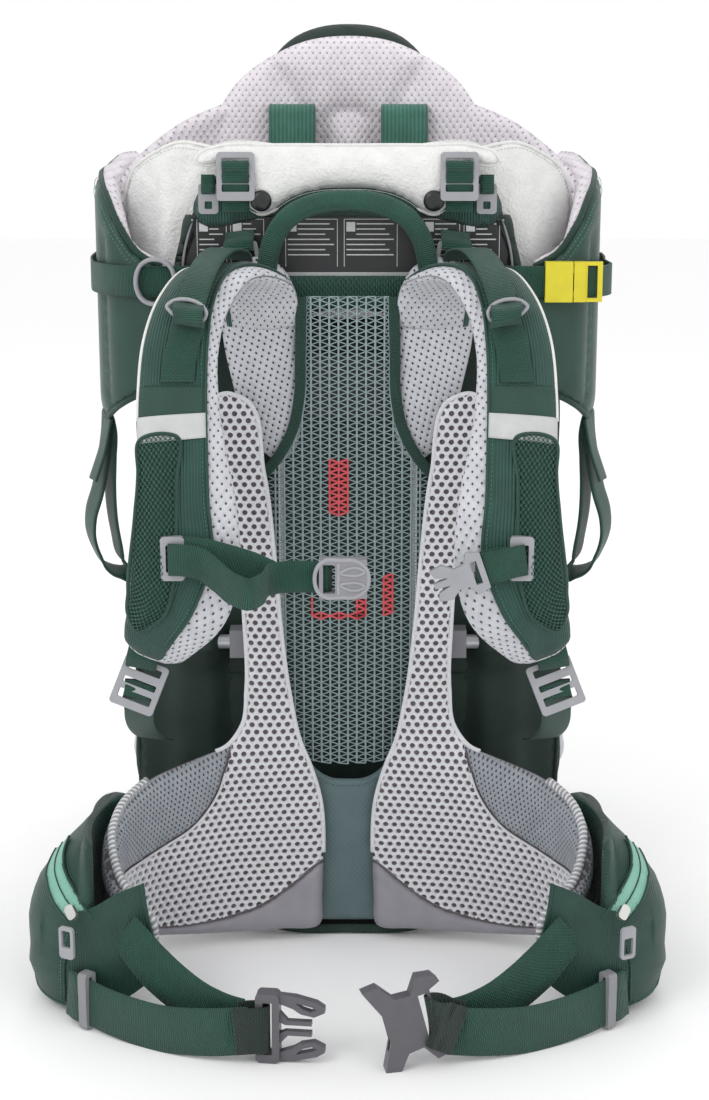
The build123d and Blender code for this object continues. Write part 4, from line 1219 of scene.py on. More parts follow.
for ends in (((-70, 630), (-58, 460)), ((70, 630), (58, 460)), ((-180, 455), (180, 455))):
    lane = [(x * mm, rear_y + 0.0075, z * mm) for x, z in flat_course(ends, 60)]
    rear_trims.append(stitching("rear_stitch", lane, thread_green))
rear_trim = joined("rear_stitching", rear_trims)
for piece, finish in ((rear_wall, "green_fabric"), (lining, "lilac_mesh"), (rear_handle, "green_webbing"),
                      (rear_trim, "green_fabric")):
    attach(piece, "frame")
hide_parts("cockpit_back")

# ---- Headrest and sunroof pocket -----------------------------------------------------------------
# The headrest is one sewn pad with a large middle lobe, two side lobes and a small lobe below, all
# in lilac spacer knit. Behind it, the folded sunroof sits in a dark green pocket.

head_half = [(0.5, 751), (20, 750), (40, 746), (60, 738), (78, 728), (94, 716), (108, 700), (118, 682),
             (125, 665), (129, 640), (135, 600), (136, 566), (120, 560), (0.5, 560)]
lobe = [(69, 733), (58, 716), (46, 698), (37, 678), (31, 655), (30, 610), (34, 561)]
small = [(-26, 600), (-26, 660), (-23, 674), (-13, 683), (0, 686), (13, 683), (23, 674), (26, 660), (26, 600)]
head_seams = [from_mm(lobe, -1), from_mm(lobe), from_mm(small)]
head_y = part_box("headrest_pad")[0].y


def head_chart(u, v):
    """The headrest curves round the child's head: its sides come forward."""
    place, normal = flat_chart(head_y + 0.014)(u, v)
    bow = 0.006 - 0.9 * u * u + 0.02 * np.clip(v - 0.70, 0, 1)
    return place + np.stack([np.zeros_like(u), bow, np.zeros_like(u)], -1), normal


headrest = quilt("headrest", mirrored(head_half), lilac_knit, head_chart, 0.0135, 0.006, head_seams,
                 puff=0.034, step=0.005, stuffing=0.005, dip=0.1)
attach(headrest, "headrest")
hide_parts("headrest_pad")

roof_y = (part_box("sunroof_pocket")[0].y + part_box("sunroof_pocket")[1].y) / 2
roof = quilt("sunroof_pocket", mirrored([(0.5, 762), (28, 759), (50, 750), (64, 738), (76, 720), (90, 698),
    (104, 668), (110, 624), (0.5, 622)]),
             pack_green, flat_chart(roof_y), 0.005, 0.006, [[(-0.116, 0.66), (0.116, 0.66)]],
             puff=0.016, step=0.007)
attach(roof, "headrest")
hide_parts("sunroof_pocket")

lilac_out = [0.10, 0.14, 0.17, 0.19, 0.203]
lilac_depth = [0.222, 0.207, 0.168, 0.112, 0.062]
lilac_slope = [-0.3, -0.8, -2.0, -3.2, -3.8]


def wing_back_chart(side):
    """Chart of the lilac lining that runs back from the hoop to the headrest's side."""
    def place(u, v):
        depth = np.interp(u, lilac_out, lilac_depth)
        slope = np.interp(u, lilac_out, lilac_slope)
        normal = unit(np.stack([side * slope, -np.ones_like(u), 0.25 + 0 * u], -1))
        return np.stack([side * u * (1.6 + depth) / 1.7, depth, v], -1), normal
    return place


for side, end in both_sides:
    lilac_wing = quilt("cockpit_wing_" + end, from_mm([(104, 692), (112, 689), (138, 677), (163, 660),
        (184, 642), (195, 627), (194, 600), (160, 590), (104, 600)]),
                       lilac_knit, wing_back_chart(side), 0.006, 0.004, puff=0.03, step=0.005, stuffing=0.003)
    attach(lilac_wing, "frame")

# ---- Child's seat and harness --------------------------------------------------------------------
# A padded seat between the side rails, and two padded harness straps that hang in front of the
# headrest from a rolled top edge down to a buckle plate.

def level_chart(z):
    """Places chart coordinates on a level plane that faces up."""
    def place(u, v):
        return np.stack([u, v, np.full_like(u, z)], -1), np.broadcast_to((0.0, 0.0, 1.0), u.shape + (3,))
    return place


seat = quilt("seat_pad",
             from_mm([(-45, 48), (45, 48), (62, 74), (95, 120), (95, 203), (-95, 203),
                      (-95, 120), (-62, 74)]),
             shell_green, level_chart(0.268),
             0.014, 0.007, [[(0, 0.05), (0, 0.2)]], puff=0.03, step=0.007)
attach(seat, "seat")
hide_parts("seat_cushion")

harness_ribs = folded_cloth("harness_ribs", "2c6353", "4b8b79", 0.0026, 0, 0.5, 0.35, 0.0006)
harness_parts = []
for side in (-1, 1):
    route = course([(side * x * mm, y * mm, z * mm, w * mm) for x, y, z, w in
                    ((50, 223, 679, 41), (50, 217, 689, 41), (50, 209.5, 688, 42), (50, 206.5, 678, 42),
                     (50, 206, 655, 42), (49, 209, 620, 38),
                     (46, 212, 480, 26), (24, 212, 402, 18))], 150)
    harness_parts.append(ribbon("harness_strap", route[:, :3], (1, 0, 0), route[:, 3], 0.005, harness_ribs))
    for off in (-0.42, 0.42):
        lane = route[30:, :3] + np.array([1, 0, 0]) * (route[30:, 3:] * off) + np.array([0, -0.0027, 0])
        harness_parts.append(stitching("harness_stitch", lane, thread_green))
harness_straps = joined("child_harness_straps", harness_parts)
plate_edge = flat_course(from_mm([(-20, 396), (20, 396), (18, 376), (8, 365), (-8, 365), (-18, 376)]),
    60, True)
harness_plate = quilt("child_harness_plate", plate_edge, black_plastic, flat_chart(0.212), 0.0045, 0.0045,
                      puff=0.006, step=0.003)
for piece, finish in ((harness_straps, "green_fabric"), (harness_plate, "black_plastic")):
    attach(piece, "frame")
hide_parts("child_harness")

# ---- Front panel ---------------------------------------------------------------------------------
# A black coated panel across the top of the frame, with a ribbed green band sewn over its top and a
# woven band along its foot. Its care labels are plain here: empty frames and rules, with no words.

coated = folded_cloth("coated_black", "0c0d0f", "1b1d20", depth=0.0002, rough=0.42)
label_print = yarn("label_print", "a9abad", "d0d1d2", 0.5, 0.0)
label_bar = yarn("label_bar", "9fa1a4", "b9bbbd", 0.4, 0.0, 0.01)
panel_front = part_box("front_panel")[0].y
panel_outline = mirrored([(0.5, 633), (106, 633), (118, 622), (128, 600), (136, 570), (138, 540),
    (136, 534), (0.5, 534)])
panel = quilt("front_panel_cloth", panel_outline, coated, flat_chart(panel_front + 0.0015), 0.002, 0.0018,
              puff=0.01, step=0.008)
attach(panel, "frame")
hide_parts("front_panel")


def small_boxes(name, boxes, y, thick, material):
    """Thin printed or sewn rectangles (x0, z0, x1, z1 in millimetres) on an upright plane."""
    points, faces = [], []
    for x0, z0, x1, z1 in boxes:
        base = len(points)
        points += [(x * mm, d, z * mm) for d in (y, y - thick)
                   for x, z in ((x0, z0), (x1, z0), (x1, z1), (x0, z1))]
        faces += [(base, base + 3, base + 2, base + 1), (base + 4, base + 5, base + 6, base + 7)]
        faces += [(base + k, base + (k + 1) % 4, base + 4 + (k + 1) % 4, base + 4 + k) for k in range(4)]
    return mesh_piece(name, points, faces, material, smooth=False)


rules = []
for left, right in ((-121, -97), (-94, -67), (-50, -8), (-3, 40), (60, 90), (93, 122)):
    rules += [(left, 568, left + 0.5, 606), (right - 0.5, 568, right, 606), (left, 605.5, right, 606)]
    rules += [(left + 2, 596, left + 9, 603.5)]
    for k in range(7):
        short = 10 if k < 3 else 2
        rules.append((left + short, 601.6 - 4.1 * k, right - 3 - (7 * ((k * 5 + left) % 3) / 2.0),
                      602.5 - 4.1 * k))
labels = small_boxes("label_rules", rules, panel_front - 0.0002, 0.0004, label_print)
bars = small_boxes("label_bars", [(-50, 555.5, 74, 563.5), (-124, 561, -97, 566.5), (98, 561, 124, 566.5)],
                   panel_front - 0.0006, 0.0006, label_bar)
for piece in (labels, bars):
    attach(piece, "frame")

band_half = [(0.5, 641), (100, 641), (112, 637), (119, 627), (123.5, 612), (122, 607.5),
             (60, 607.5), (0.5, 607.5)]
top_band = quilt("panel_top_band", mirrored(band_half), ribbed_green, flat_chart(panel_front - 0.0006),
                 0.0024, 0.0012, puff=0.006, step=0.006)
side_strips = [quilt("panel_side_strip", from_mm([(122, 608), (127, 610), (135, 588), (141, 560), (141, 535),
    (134, 535), (134, 560), (129, 585)], side),
                     pack_green, flat_chart(panel_front - 0.0004), 0.0032, 0.001, puff=0.004, step=0.004)
                     for side in (-1, 1)]
foot_line = [(-128, 1.8, 541), (-60, 0.2, 547), (0, 0.0, 547.5), (60, 0.2, 547), (128, 1.8, 541)]
foot_line = course(foot_line, 90) * mm
foot_band = ribbon("panel_foot_band", foot_line, (0, 0, 1), 0.027, 0.0022,
                   woven("foot_webbing", "0c2a22", "1d5242", 0.0021))
foot_stitches = [stitching("foot_stitch", foot_line + np.array([0, -0.0012, off]), thread_dark)
                 for off in (-0.0105, 0.0105)]
rail_seams = [piping("panel_rail", course([(side * 124 * mm, 0.0025, 0.606), (side * 131 * mm, 0.0025, 0.58),
    (side * 134 * mm, 0.0025, 0.54)], 40), 0.0011, mid_plastic, 6)
              for side in (-1, 1)]
panel_trim = joined("panel_trim", side_strips + foot_stitches + rail_seams)
for piece, finish in ((top_band, "green_fabric"), (foot_band, "green_webbing"), (panel_trim, "green_fabric")):
    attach(piece, "frame")

# ---- Chin pad ------------------------------------------------------------------------------------
# A white fleece pad over the front bar, with a scalloped flap held by two black snaps, and two wide
# wings that run back to the cockpit sides. Its edge is bound in white.

fleece, fleece_tree, fleece_shader = surface("white_fleece", 0.9, sheen=0.6)
pile = speckle(fleece_tree, 0.0022, 5.0)
clump = speckle(fleece_tree, 0.014, 3.0)
tint(fleece_tree, fleece_shader, blend_shades(fleece_tree, clump, shade("d9dad9"), shade("f3f3f1")))
raise_by(fleece_tree, fleece_shader,
         calc(fleece_tree, "ADD", pile, calc(fleece_tree, "MULTIPLY", clump, 1.5)), 0.0016, 0.9)
flap_half = [(0.5, 664), (60, 664), (104, 662.5), (117, 658), (121, 651), (114, 648), (100, 649), (90, 642),
             (84, 632), (82.5, 621), (77, 612.5), (68.5, 609.5),
             (60, 612), (50, 619), (36, 625.5), (18, 629), (0.5, 629.5)]
flap = quilt("chin_pad", mirrored(flap_half), fleece, flat_chart(0.0035), 0.0095, 0.0045, puff=0.02,
             step=0.004, stuffing=0.004)
place_top = quilt("chin_pad_top",
                  from_mm([(-100, 15), (100, 15), (110, 20), (112, 37), (-112, 37), (-110, 20)]),
                  fleece, level_chart(0.646),
                  0.005, 0.006, puff=0.03, step=0.006)
inside_flap = quilt("chin_pad_inside", mirrored([(0.5, 656), (116, 655), (118, 600), (100, 584), (0.5, 582)]),
                    fleece,
                    flat_chart(0.033), 0.004, 0.006, puff=0.015, step=0.008)
wing_out = np.array([0.09, 0.116, 0.135, 0.15, 0.178, 0.19])
wing_depth = np.array([0.012, 0.022, 0.031, 0.037, 0.062, 0.078])
wing_slope = np.gradient(wing_depth, wing_out)


def wing_chart(side):
    """Chart of a chin pad's wing, which curves back along the cockpit side and creases below."""
    def place(u, v):
        y = np.interp(u, wing_out, wing_depth)
        lean = np.interp(u, wing_out, wing_slope)
        crease = 0.0022 * np.sin(110 * (u - 0.1) + 34 * (v - 0.6)) * np.clip((0.655 - v) / 0.05, 0, 1)
        normal = unit(np.stack([side * lean, -np.ones_like(lean), np.zeros_like(lean)], -1))
        return np.stack([side * u, y + crease, v], -1), normal
    return place


wing_edge = [(98, 657), (116, 663), (136, 665), (156, 657), (176, 642), (184, 622), (184, 590), (178, 566),
             (160, 558), (140, 560), (127, 566), (119, 590), (108, 620)]
chin_parts = []
for side, end in both_sides:
    wing = quilt("chin_wing_" + end, from_mm(wing_edge), fleece, wing_chart(side), 0.0042, 0.0042, puff=0.03,
                 step=0.005, stuffing=0.003)
    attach(wing, "frame")
    rim_line = flat_course(from_mm(wing_edge), 160, True)
    place, normal = wing_chart(side)(rim_line[:, 0], rim_line[:, 1])
    chin_parts.append(piping("wing_binding", place, 0.0015, white_cord, 7, loop=True))
    inset = np.array([160, 615]) * mm
    near = rim_line + unit(inset - rim_line) * 0.005
    place, normal = wing_chart(side)(near[:, 0], near[:, 1])
    chin_parts.append(stitching("wing_stitch", place + normal * 0.0036, label_bar, seam_gap, seam_thread))
flap_line = course([(p[0], 0.0032, p[1]) for p in mirrored(flap_half)], 320, True)
chin_parts.append(piping("flap_binding", flap_line, 0.0013, white_cord, 7, loop=True))
chin_trim = joined("chin_pad_binding", chin_parts)
for piece in (flap, place_top, inside_flap, chin_trim):
    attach(piece, "frame")
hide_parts("chin_pad")
snap_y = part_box("snap_fasteners")[0].y
snaps = []
for x in (-68.5, 68.5):
    turn = np.linspace(0, 2 * math.pi, 40, endpoint=False)
    rings = [[(x * mm + r * mm * math.cos(a), snap_y - d * mm, 0.621 + r * mm * math.sin(a)) for a in turn]
             for r, d in ((7.6, -7.0), (8.3, -1.0), (8.4, 0.6), (8.1, 1.8), (7.0, 2.9), (5.2, 3.7),
                          (3.0, 4.1), (1.0, 4.25))]
    snaps.append(skin("snap", rings, black_plastic))
snap_caps = joined("snap_caps", snaps)
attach(snap_caps, "frame")
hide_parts("snap_fasteners")

# ---- Haul handle ---------------------------------------------------------------------------------
# A padded arch of ribbed cloth folded over foam, with a rolled inner edge. It tilts on its two feet.

arch_ribs = folded_cloth("arch_ribs", "124034", "246350", 0.0017, 1, 0.5, 0.3, 0.0004)
arch_half = [(67, 541), (66, 556), (64, 574), (59, 592), (49, 607), (33, 617), (16, 621.5)]
arch_line = [(-x, z, 0) for x, z in arch_half] + [(0, 622.5, 0)] + [(x, z, 0) for x, z in arch_half[::-1]]
arch = course(arch_line, 180) * mm
arch_lean = 0.0045 + 0.15 * (arch[:, 1] - 0.545)
arch_mid = np.stack([arch[:, 0], -arch_lean - 0.0005, arch[:, 1]], -1)
arch_way = unit(np.gradient(arch_mid, axis=0))
arch_out = unit(np.cross(np.array([0, 1.0, 0]), arch_way) * -1)
arch_out = unit(arch_out - arch_way * (arch_out * arch_way).sum(1, keepdims=True))
arch_face = np.cross(arch_way, arch_out)
arch_face *= np.sign(-arch_face[:, 1:2])
turn = np.linspace(0, 2 * math.pi, 36, endpoint=False)
ring = np.stack([np.sign(np.cos(turn)) * np.abs(np.cos(turn)) ** 0.7 * 0.0078, np.sign(np.sin(turn))
                 * np.abs(np.sin(turn)) ** 0.8 * 0.0052], -1)
grip = skin("haul_handle_grip", arch_mid[:, None] + arch_out[:, None] * ring[None, :, :1] + arch_face[:,
    None] * ring[None, :, 1:], arch_ribs)
inner_sign = -1 if arch_out[90][2] > 0 else 1
roll = piping("handle_roll", arch_mid + arch_out * inner_sign * 0.0064 + arch_face * 0.0022,
              0.0024, plain_green, 8)
lane = stitching("handle_stitch", arch_mid + arch_out * inner_sign * 0.0032 + arch_face * 0.0049, thread_dark)
feet = [ribbon("handle_foot", course([(side * 67, -4.0, 560), (side * 68, -3.2, 545), (side * 70, -2.2, 532)],
    20) * mm, (1, 0, 0), 0.024, 0.004, green_webbing)
        for side in (-1, 1)]
handle_trim = joined("haul_handle_trim", [roll, lane])
feet = joined("haul_handle_feet", feet)
for piece in (grip, handle_trim):
    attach(piece, "handle")
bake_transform(feet)
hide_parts("haul_handle")

# ---- Top fittings and load lifters ---------------------------------------------------------------
# Moulded ladder locks and hooks hang on short webbing loops at the panel's top. Each load lifter
# runs from its ring over the strap's crown to a wire loop on the strap.

dress(light_plastic, "top_ladders", "canopy_hooks", "lifter_rings", edge=0.0009, segments=3)
lifter_web = 0.0235
loops, lifters = [], []
for side, end in both_sides:
    x = side * 88.5
    loops.append(ribbon("ladder_loop", course([(x, -3.0, 628), (x, -4.2, 640), (x, -6.4, 648),
        (x, -9.8, 651.5), (x, -11.4, 647), (x, -8.6, 643)], 40) * mm,
                        (1, 0, 0), 0.0215, 0.002, green_webbing))
    loops.append(ribbon("ladder_tail",
                        course([(x, -9.4, 645), (x, -10.8, 640), (x, -9.2, 634), (x, -7.4, 622),
                                (x, -7.0, 612)], 30) * mm,
                        (1, 0, 0), 0.0215, 0.0018, green_webbing))
    x = side * 111
    loops.append(ribbon("hook_loop", course([(x, 1.0, 641), (x, -0.5, 634), (x, -1.8, 629.5), (x, 1.2, 626.5),
        (x, 3.0, 632)], 30) * mm, (1, 0, 0), 0.011, 0.0016, green_webbing))
    ring_x = side * 87
    loops.append(ribbon("ring_loop", course([(ring_x * 0.99, 1.5, 596), (ring_x * 0.99, -3.4, 592),
        (ring_x, -9.4, 587), (ring_x, -10.2, 582.6), (ring_x, -5.0, 583.5)], 30) * mm,
                        (1, 0, -0.2 * side), 0.024, 0.002, green_webbing))
    route = course([(87, -9, 575), (88, -16, 580), (92, -34, 585), (100, -62, 586), (109, -88, 575),
                    (116, -104, 557), (118.5, -110.5, 546), (119, -110, 541)], 90)
    lifters.append(ribbon("load_lifter_" + end, route * (side, 1, 1) * mm, (1, 0.28 * side, 0), lifter_web,
                          0.002, green_webbing))
    loop_path = course([(119, -104, 548), (119, -112, 551), (119, -119, 547), (119, -120, 541),
                        (119, -114.5, 536.5), (119, -109, 539)], 50)
    loops_here = ribbon("lifter_loop_" + end, loop_path * (side, 1, 1) * mm, (1, 0.25 * side, 0.12 * side),
                        lifter_web, 0.0021, green_webbing)
    corner = [(133, -109, 552), (107, -115, 548.5), (105.5, -117, 545.5), (106.5, -116, 542),
              (133, -110, 546), (135.5, -108.5, 549.5)]
    wire = piping("lifter_wire_" + end, course(corner, 90, True) * (side, 1, 1) * mm, 0.0016,
                  light_plastic, 8, loop=True)
    for piece, finish in ((loops_here, "green_webbing"), (wire, "grey_plastic")):
        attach(piece, "harness")
    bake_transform(lifters[-1])
top_loops = joined("top_webbing_loops", loops)
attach(top_loops, "frame")

# ---- Side straps, glide and side buckle ----------------------------------------------------------
# A strap from the front panel closes each cockpit side: a fixed glide on the left, and on the right a
# bright yellow side-release buckle that opens the child's way in.

yellow = moulded("yellow_plastic", "e2d52c", 0.36)
side_web = 0.025
side_pieces = []
for side in (-1, 1):
    shell_run_here = np.linspace(0.012, 0.15, 40)
    wall, face = shell_chart(side, 0.0102)(shell_run_here, np.full(40, 0.557))
    start = [(side * 118, -0.5, 557), (side * 134, -4, 557), (side * 150, -6.5, 557)]
    if side < 0:
        path = course([tuple(p) for p in np.array(start) * mm] + [tuple(p) for p in wall[6::3]], 90)
        side_pieces.append(ribbon("side_strap", path, (0, 0, 1), side_web, 0.002, green_webbing))
        glide = [(-144, 542.5), (-142.5, 544), (-142.5, 570.5), (-144, 572), (-163.5, 572), (-165, 570.5),
                 (-165, 544), (-163.5, 542.5)]
        for lift in (-0.0035, 0.0012):
            line = course([(x * mm, -0.0085 + lift, z * mm) for x, z in glide], 60, True)
            side_pieces.append(piping("side_glide_rim", line, 0.0017, light_plastic, 8, loop=True))
    else:
        side_pieces.append(ribbon("side_strap", course(start + [(160, -6, 557)], 30) * mm, (0, 0, 1),
            side_web, 0.002, green_webbing))
        back = [tuple(p) for p in np.array([(192, -6, 557), (200, -4, 557), (209, 6, 557)]) * mm] + [tuple(p)
            for p in wall[22::3]]
        buckle_web = ribbon("side_buckle_web", course(back, 60), (0, 0, 1), side_web, 0.002, green_webbing)
        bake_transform(buckle_web)
side_webs = joined("side_strap_webs", side_pieces)
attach(side_webs, "frame")
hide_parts("side_straps")
dress(yellow, "side_buckle_female", "side_buckle_male", edge=0.0022, segments=4)

# ---- Stirrups ------------------------------------------------------------------------------------
# Loops of folded webbing hang below the cockpit sides for the child's feet and swing a little.

for side, end in both_sides:
    loop = [(203, 60, 439), (205, 60, 420), (208, 59, 400), (214, 58, 372), (220, 58, 352), (221, 59, 336),
            (216, 60, 318), (209, 60, 306), (201, 61, 301), (192, 62, 300),
            (191, 60, 305), (196, 60, 314), (199, 59, 330), (202, 58, 352), (203, 59, 380),
            (202, 60, 404), (201, 60, 428)]
    path = course(loop, 130, True) * (side, 1, 1) * mm
    band = ribbon("stirrup_band_" + end, np.vstack([path, path[:1]]), (side * 0.45, 1, 0.25),
                  0.026, 0.0024, green_webbing)
    tail = ribbon("stirrup_tail_" + end,
                  course([(202, 54, 436), (208, 50, 408), (214, 48, 390), (216, 47, 384)], 24)
                  * (side, 1, 1) * mm,
                  (side * 0.3, 1, 0.3), 0.02, 0.002, green_webbing)
    stirrup = joined("stirrup_webbing_" + end, [band, tail])
    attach(stirrup, "stirrup_" + end)
    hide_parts("stirrup_" + end)

# ---- Lower ladders and their webbing -------------------------------------------------------------
# The strap ends in a moulded ladder lock; thin webbing runs from it down to the foot of the pack.

dress(light_plastic, "ladder_left", "ladder_right", edge=0.001, segments=3)
for side, end in both_sides:
    upper = ribbon("strap_end_" + end, course([(152, -123, 306), (156, -122, 292), (160.5, -121.5, 275),
        (161.5, -117, 268.5), (160, -113, 274), (155, -114, 292)], 40)
                   * (side, 1, 1) * mm, (1, 0, side * 0.18), 0.024, 0.002, green_webbing)
    slide = ribbon("ladder_web_" + end, course([(163, -112, 257), (162.5, -119, 252), (164, -119.5, 245),
        (165.5, -112, 241), (166, -98, 228)], 40)
                   * (side, 1, 1) * mm, (1, 0, side * 0.18), lifter_web, 0.0018, green_webbing)
    upper = joined("ladder_webbing_" + end, [upper, slide])
    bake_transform(upper)
    lower = ribbon("lower_web_" + end,
                   course([(166, -98, 228), (168, -78, 212), (168, -50, 194), (165, -20, 178), (160, 4, 168)],
                          60)
                   * (side, 1, 1) * mm, (1, 0, side * 0.1), lifter_web, 0.0018, green_webbing)
    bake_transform(lower)

# ---- Chest strap ---------------------------------------------------------------------------------
# Two sliders ride on the straps. The left webbing is slack and hangs in a loop before the female
# half; the right one is short and lets the male half droop.

dress(light_plastic, "sternum_slider_left", "sternum_slider_right", "sternum_buckle_male",
      edge=0.0012, segments=3)
dress(mid_plastic, "sternum_buckle_female", edge=0.003, segments=4)
chest_webs = []
slack = [(-134, -160.5, 366), (-122, -163, 366), (-110, -165, 364), (-97, -174, 357), (-84, -186, 350),
         (-72, -190, 347), (-63, -183, 349.5), (-58, -171, 353),
         (-46, -165.5, 354), (-32, -164.5, 354), (-14, -164, 353)]
chest_webs.append(ribbon("chest_web", course(slack, 130) * mm, (0.06, 0, 1), 0.0248, 0.0017, green_webbing))
taut = [(-134, -157.5, 371), (-112, -160, 371), (-88, -163, 366), (-68, -166.5, 360), (-58, -168, 355.5)]
chest_webs.append(ribbon("chest_web_back", course(taut, 60) * mm, (0.25, 0.2, 1), lifter_web,
    0.0017, green_webbing))
fold = [(-16, -164.5, 353), (-12.2, -160, 353), (-13.5, -157.5, 353), (-24, -158.5, 353)]
chest_webs.append(ribbon("chest_web_fold", course(fold, 30) * mm, (0, 0, 1), lifter_web,
    0.0017, green_webbing))
short = [(134, -160.5, 366), (122, -163, 364), (110, -163.5, 361), (100, -160, 358), (97, -156.5, 357),
         (101, -155, 358.5), (112, -158, 362), (122, -158, 364)]
chest_webs.append(ribbon("chest_web_short", course(short, 70) * mm, (0.12, 0, 1), 0.0245,
    0.0018, green_webbing))
for x in (117, 112):
    chest_webs.append(stitching("chest_stitch",
        np.array([(x * mm, -0.1643, z * mm) for z in np.linspace(352, 374, 20)]),
        thread_dark, 0.0018, 0.0004))
left_webs = joined("chest_webbing_left", chest_webs[:3])
right_webs = joined("chest_webbing_right", chest_webs[3:])
chest_rims = []
low, high, at, out = 338.8, 367.2, -165.6, -0.0024
ring = course([(-20.5, at, low + 3), (-20.5, at, high - 3), (-16, at, high), (-6, at, high),
               (8, at, high - 1), (15, at, high - 8), (16, at, 353),
               (15, at, low + 8), (8, at, low + 1), (-6, at, low), (-16, at, low)], 120,
               True) * mm + np.array([0, out, 0])
chest_rims.append(piping("chest_rim", ring, 0.0017, light_plastic, 8, loop=True))
for side in (-1, 1):
    lobe = course([(-5, at, 353 + side * 4.5), (1, at, 353 + side * 8), (8, at, 353 + side * 8.5),
                   (13, at, 353 + side * 5.5), (9, at, 353 + side * 3.2), (1, at, 353 + side * 3)],
                  60, True) * mm + np.array([0, out - 0.001, 0])
    chest_rims.append(piping("chest_lobe", lobe, 0.0012, light_plastic, 8, loop=True))
chest_rims.append(piping("chest_bar", course([(-6.5, at, low + 2), (-6.5, at, 353), (-6.5, at, high - 2)],
    30) * mm + np.array([0, out, 0]), 0.0016, light_plastic, 8))
chest_rim = joined("chest_buckle_rim", chest_rims)
for piece, body, finish in ((left_webs, "sternum_left", "green_webbing"),
        (right_webs, "sternum_right", "green_webbing"), (chest_rim, "sternum_left", "grey_plastic")):
    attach(piece, body)
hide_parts("sternum_web_left")
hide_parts("sternum_web_right")

# ---- Hip pockets ---------------------------------------------------------------------------------
# A zipped pocket of ribbed cloth covers the outside of each hip fin. The mint zip tape runs up its
# shoulder, and sewn seams lead from the tape's foot to the belt webbing and to the base.

pocket_cloth = folded_cloth("pocket_cloth", "0c332a", "1d4d41", 0.0021, 1, 0.5, 0.15, 0.00025)
mint_tape = folded_cloth("mint_tape", "7cbfa9", "a3dcc8", 0.0011, 1, 0.5, 0.2, 0.0002)
plan = [(205, -60), (240, -80), (256, -118), (250, -154), (224, -176), (198, -179), (200, -150), (202, -122),
        (197, -94), (182, -66)]
plan = flat_course(plan, 120, True)
share_at = ([3, 4, 7, 13, 34, 76, 96, 113, 126, 135, 137.5], [0.58, 0.68, 0.78, 0.87, 0.97, 0.95, 0.82,
    0.58, 0.35, 0.15, 0.05])
levels = np.array([3, 4, 7, 13, 22, 34, 46, 58, 70, 80, 89, 98, 106, 113, 120, 126, 131, 135, 137.5])
reach = np.interp(levels, *share_at)


def pocket_face(side):
    """Rows of points of a hip pocket, from its base up."""
    rows_here = []
    for z, share in zip(levels, reach):
        out = np.clip((plan[:, 0] - 201) / 12, 0, 1)
        x = np.where(plan[:, 0] > 206, 206 + (plan[:, 0] - 206) * share, plan[:, 0])
        y = -118 + (plan[:, 1] + 118) * (1 - out * (1 - (0.4 + 0.6 * share)))
        dent = 0.7 * np.sin(0.16 * z + 0.09 * plan[:, 1]) * out * np.clip((90 - z) / 40, 0, 1)
        pull = 2.2 * np.exp(-((z - 52 - 0.5 * (x - 205)) / 11) ** 2) * (plan[:, 1] < -165)
        rise = 7 * (z / 138) ** 4 * np.clip((212 - x) / 20, 0, 1)
        rows_here.append(np.stack([side * (x - dent), y + pull, z + rise], -1))
    return np.array(rows_here) * mm


def on_pocket(rows_here, spots, lift):
    """Points on a pocket's face from (share of the way round, height in millimetres)."""
    made = []
    for around, z in spots:
        k = np.interp(z, levels, np.arange(len(levels)))
        low_row = int(min(k, len(levels) - 2))
        row = rows_here[low_row] * (1 - (k - low_row)) + rows_here[low_row + 1] * (k - low_row)
        a = around * len(plan)
        first = int(a) % len(plan)
        spot = row[first] * (1 - a % 1) + row[(first + 1) % len(plan)] * (a % 1)
        way = unit(row[(first + 2) % len(plan)] - row[first - 2])
        climb = unit(rows_here[low_row + 1][first] - rows_here[low_row][first])
        out = np.cross(way, climb)
        out = unit(out * np.sign(out @ (spot - np.array([math.copysign(0.2, spot[0]), -0.118, 0.07]))))
        made.append((spot + out * lift, out))
    return np.array([p for p, o in made]), np.array([o for p, o in made])


pocket_round = 0.324


def eased(spots, count):
    """A smooth line on a pocket through (share of the way round, height in millimetres)."""
    return flat_course([(a * pocket_round, z * mm) for a, z in spots], count) / (pocket_round, mm)


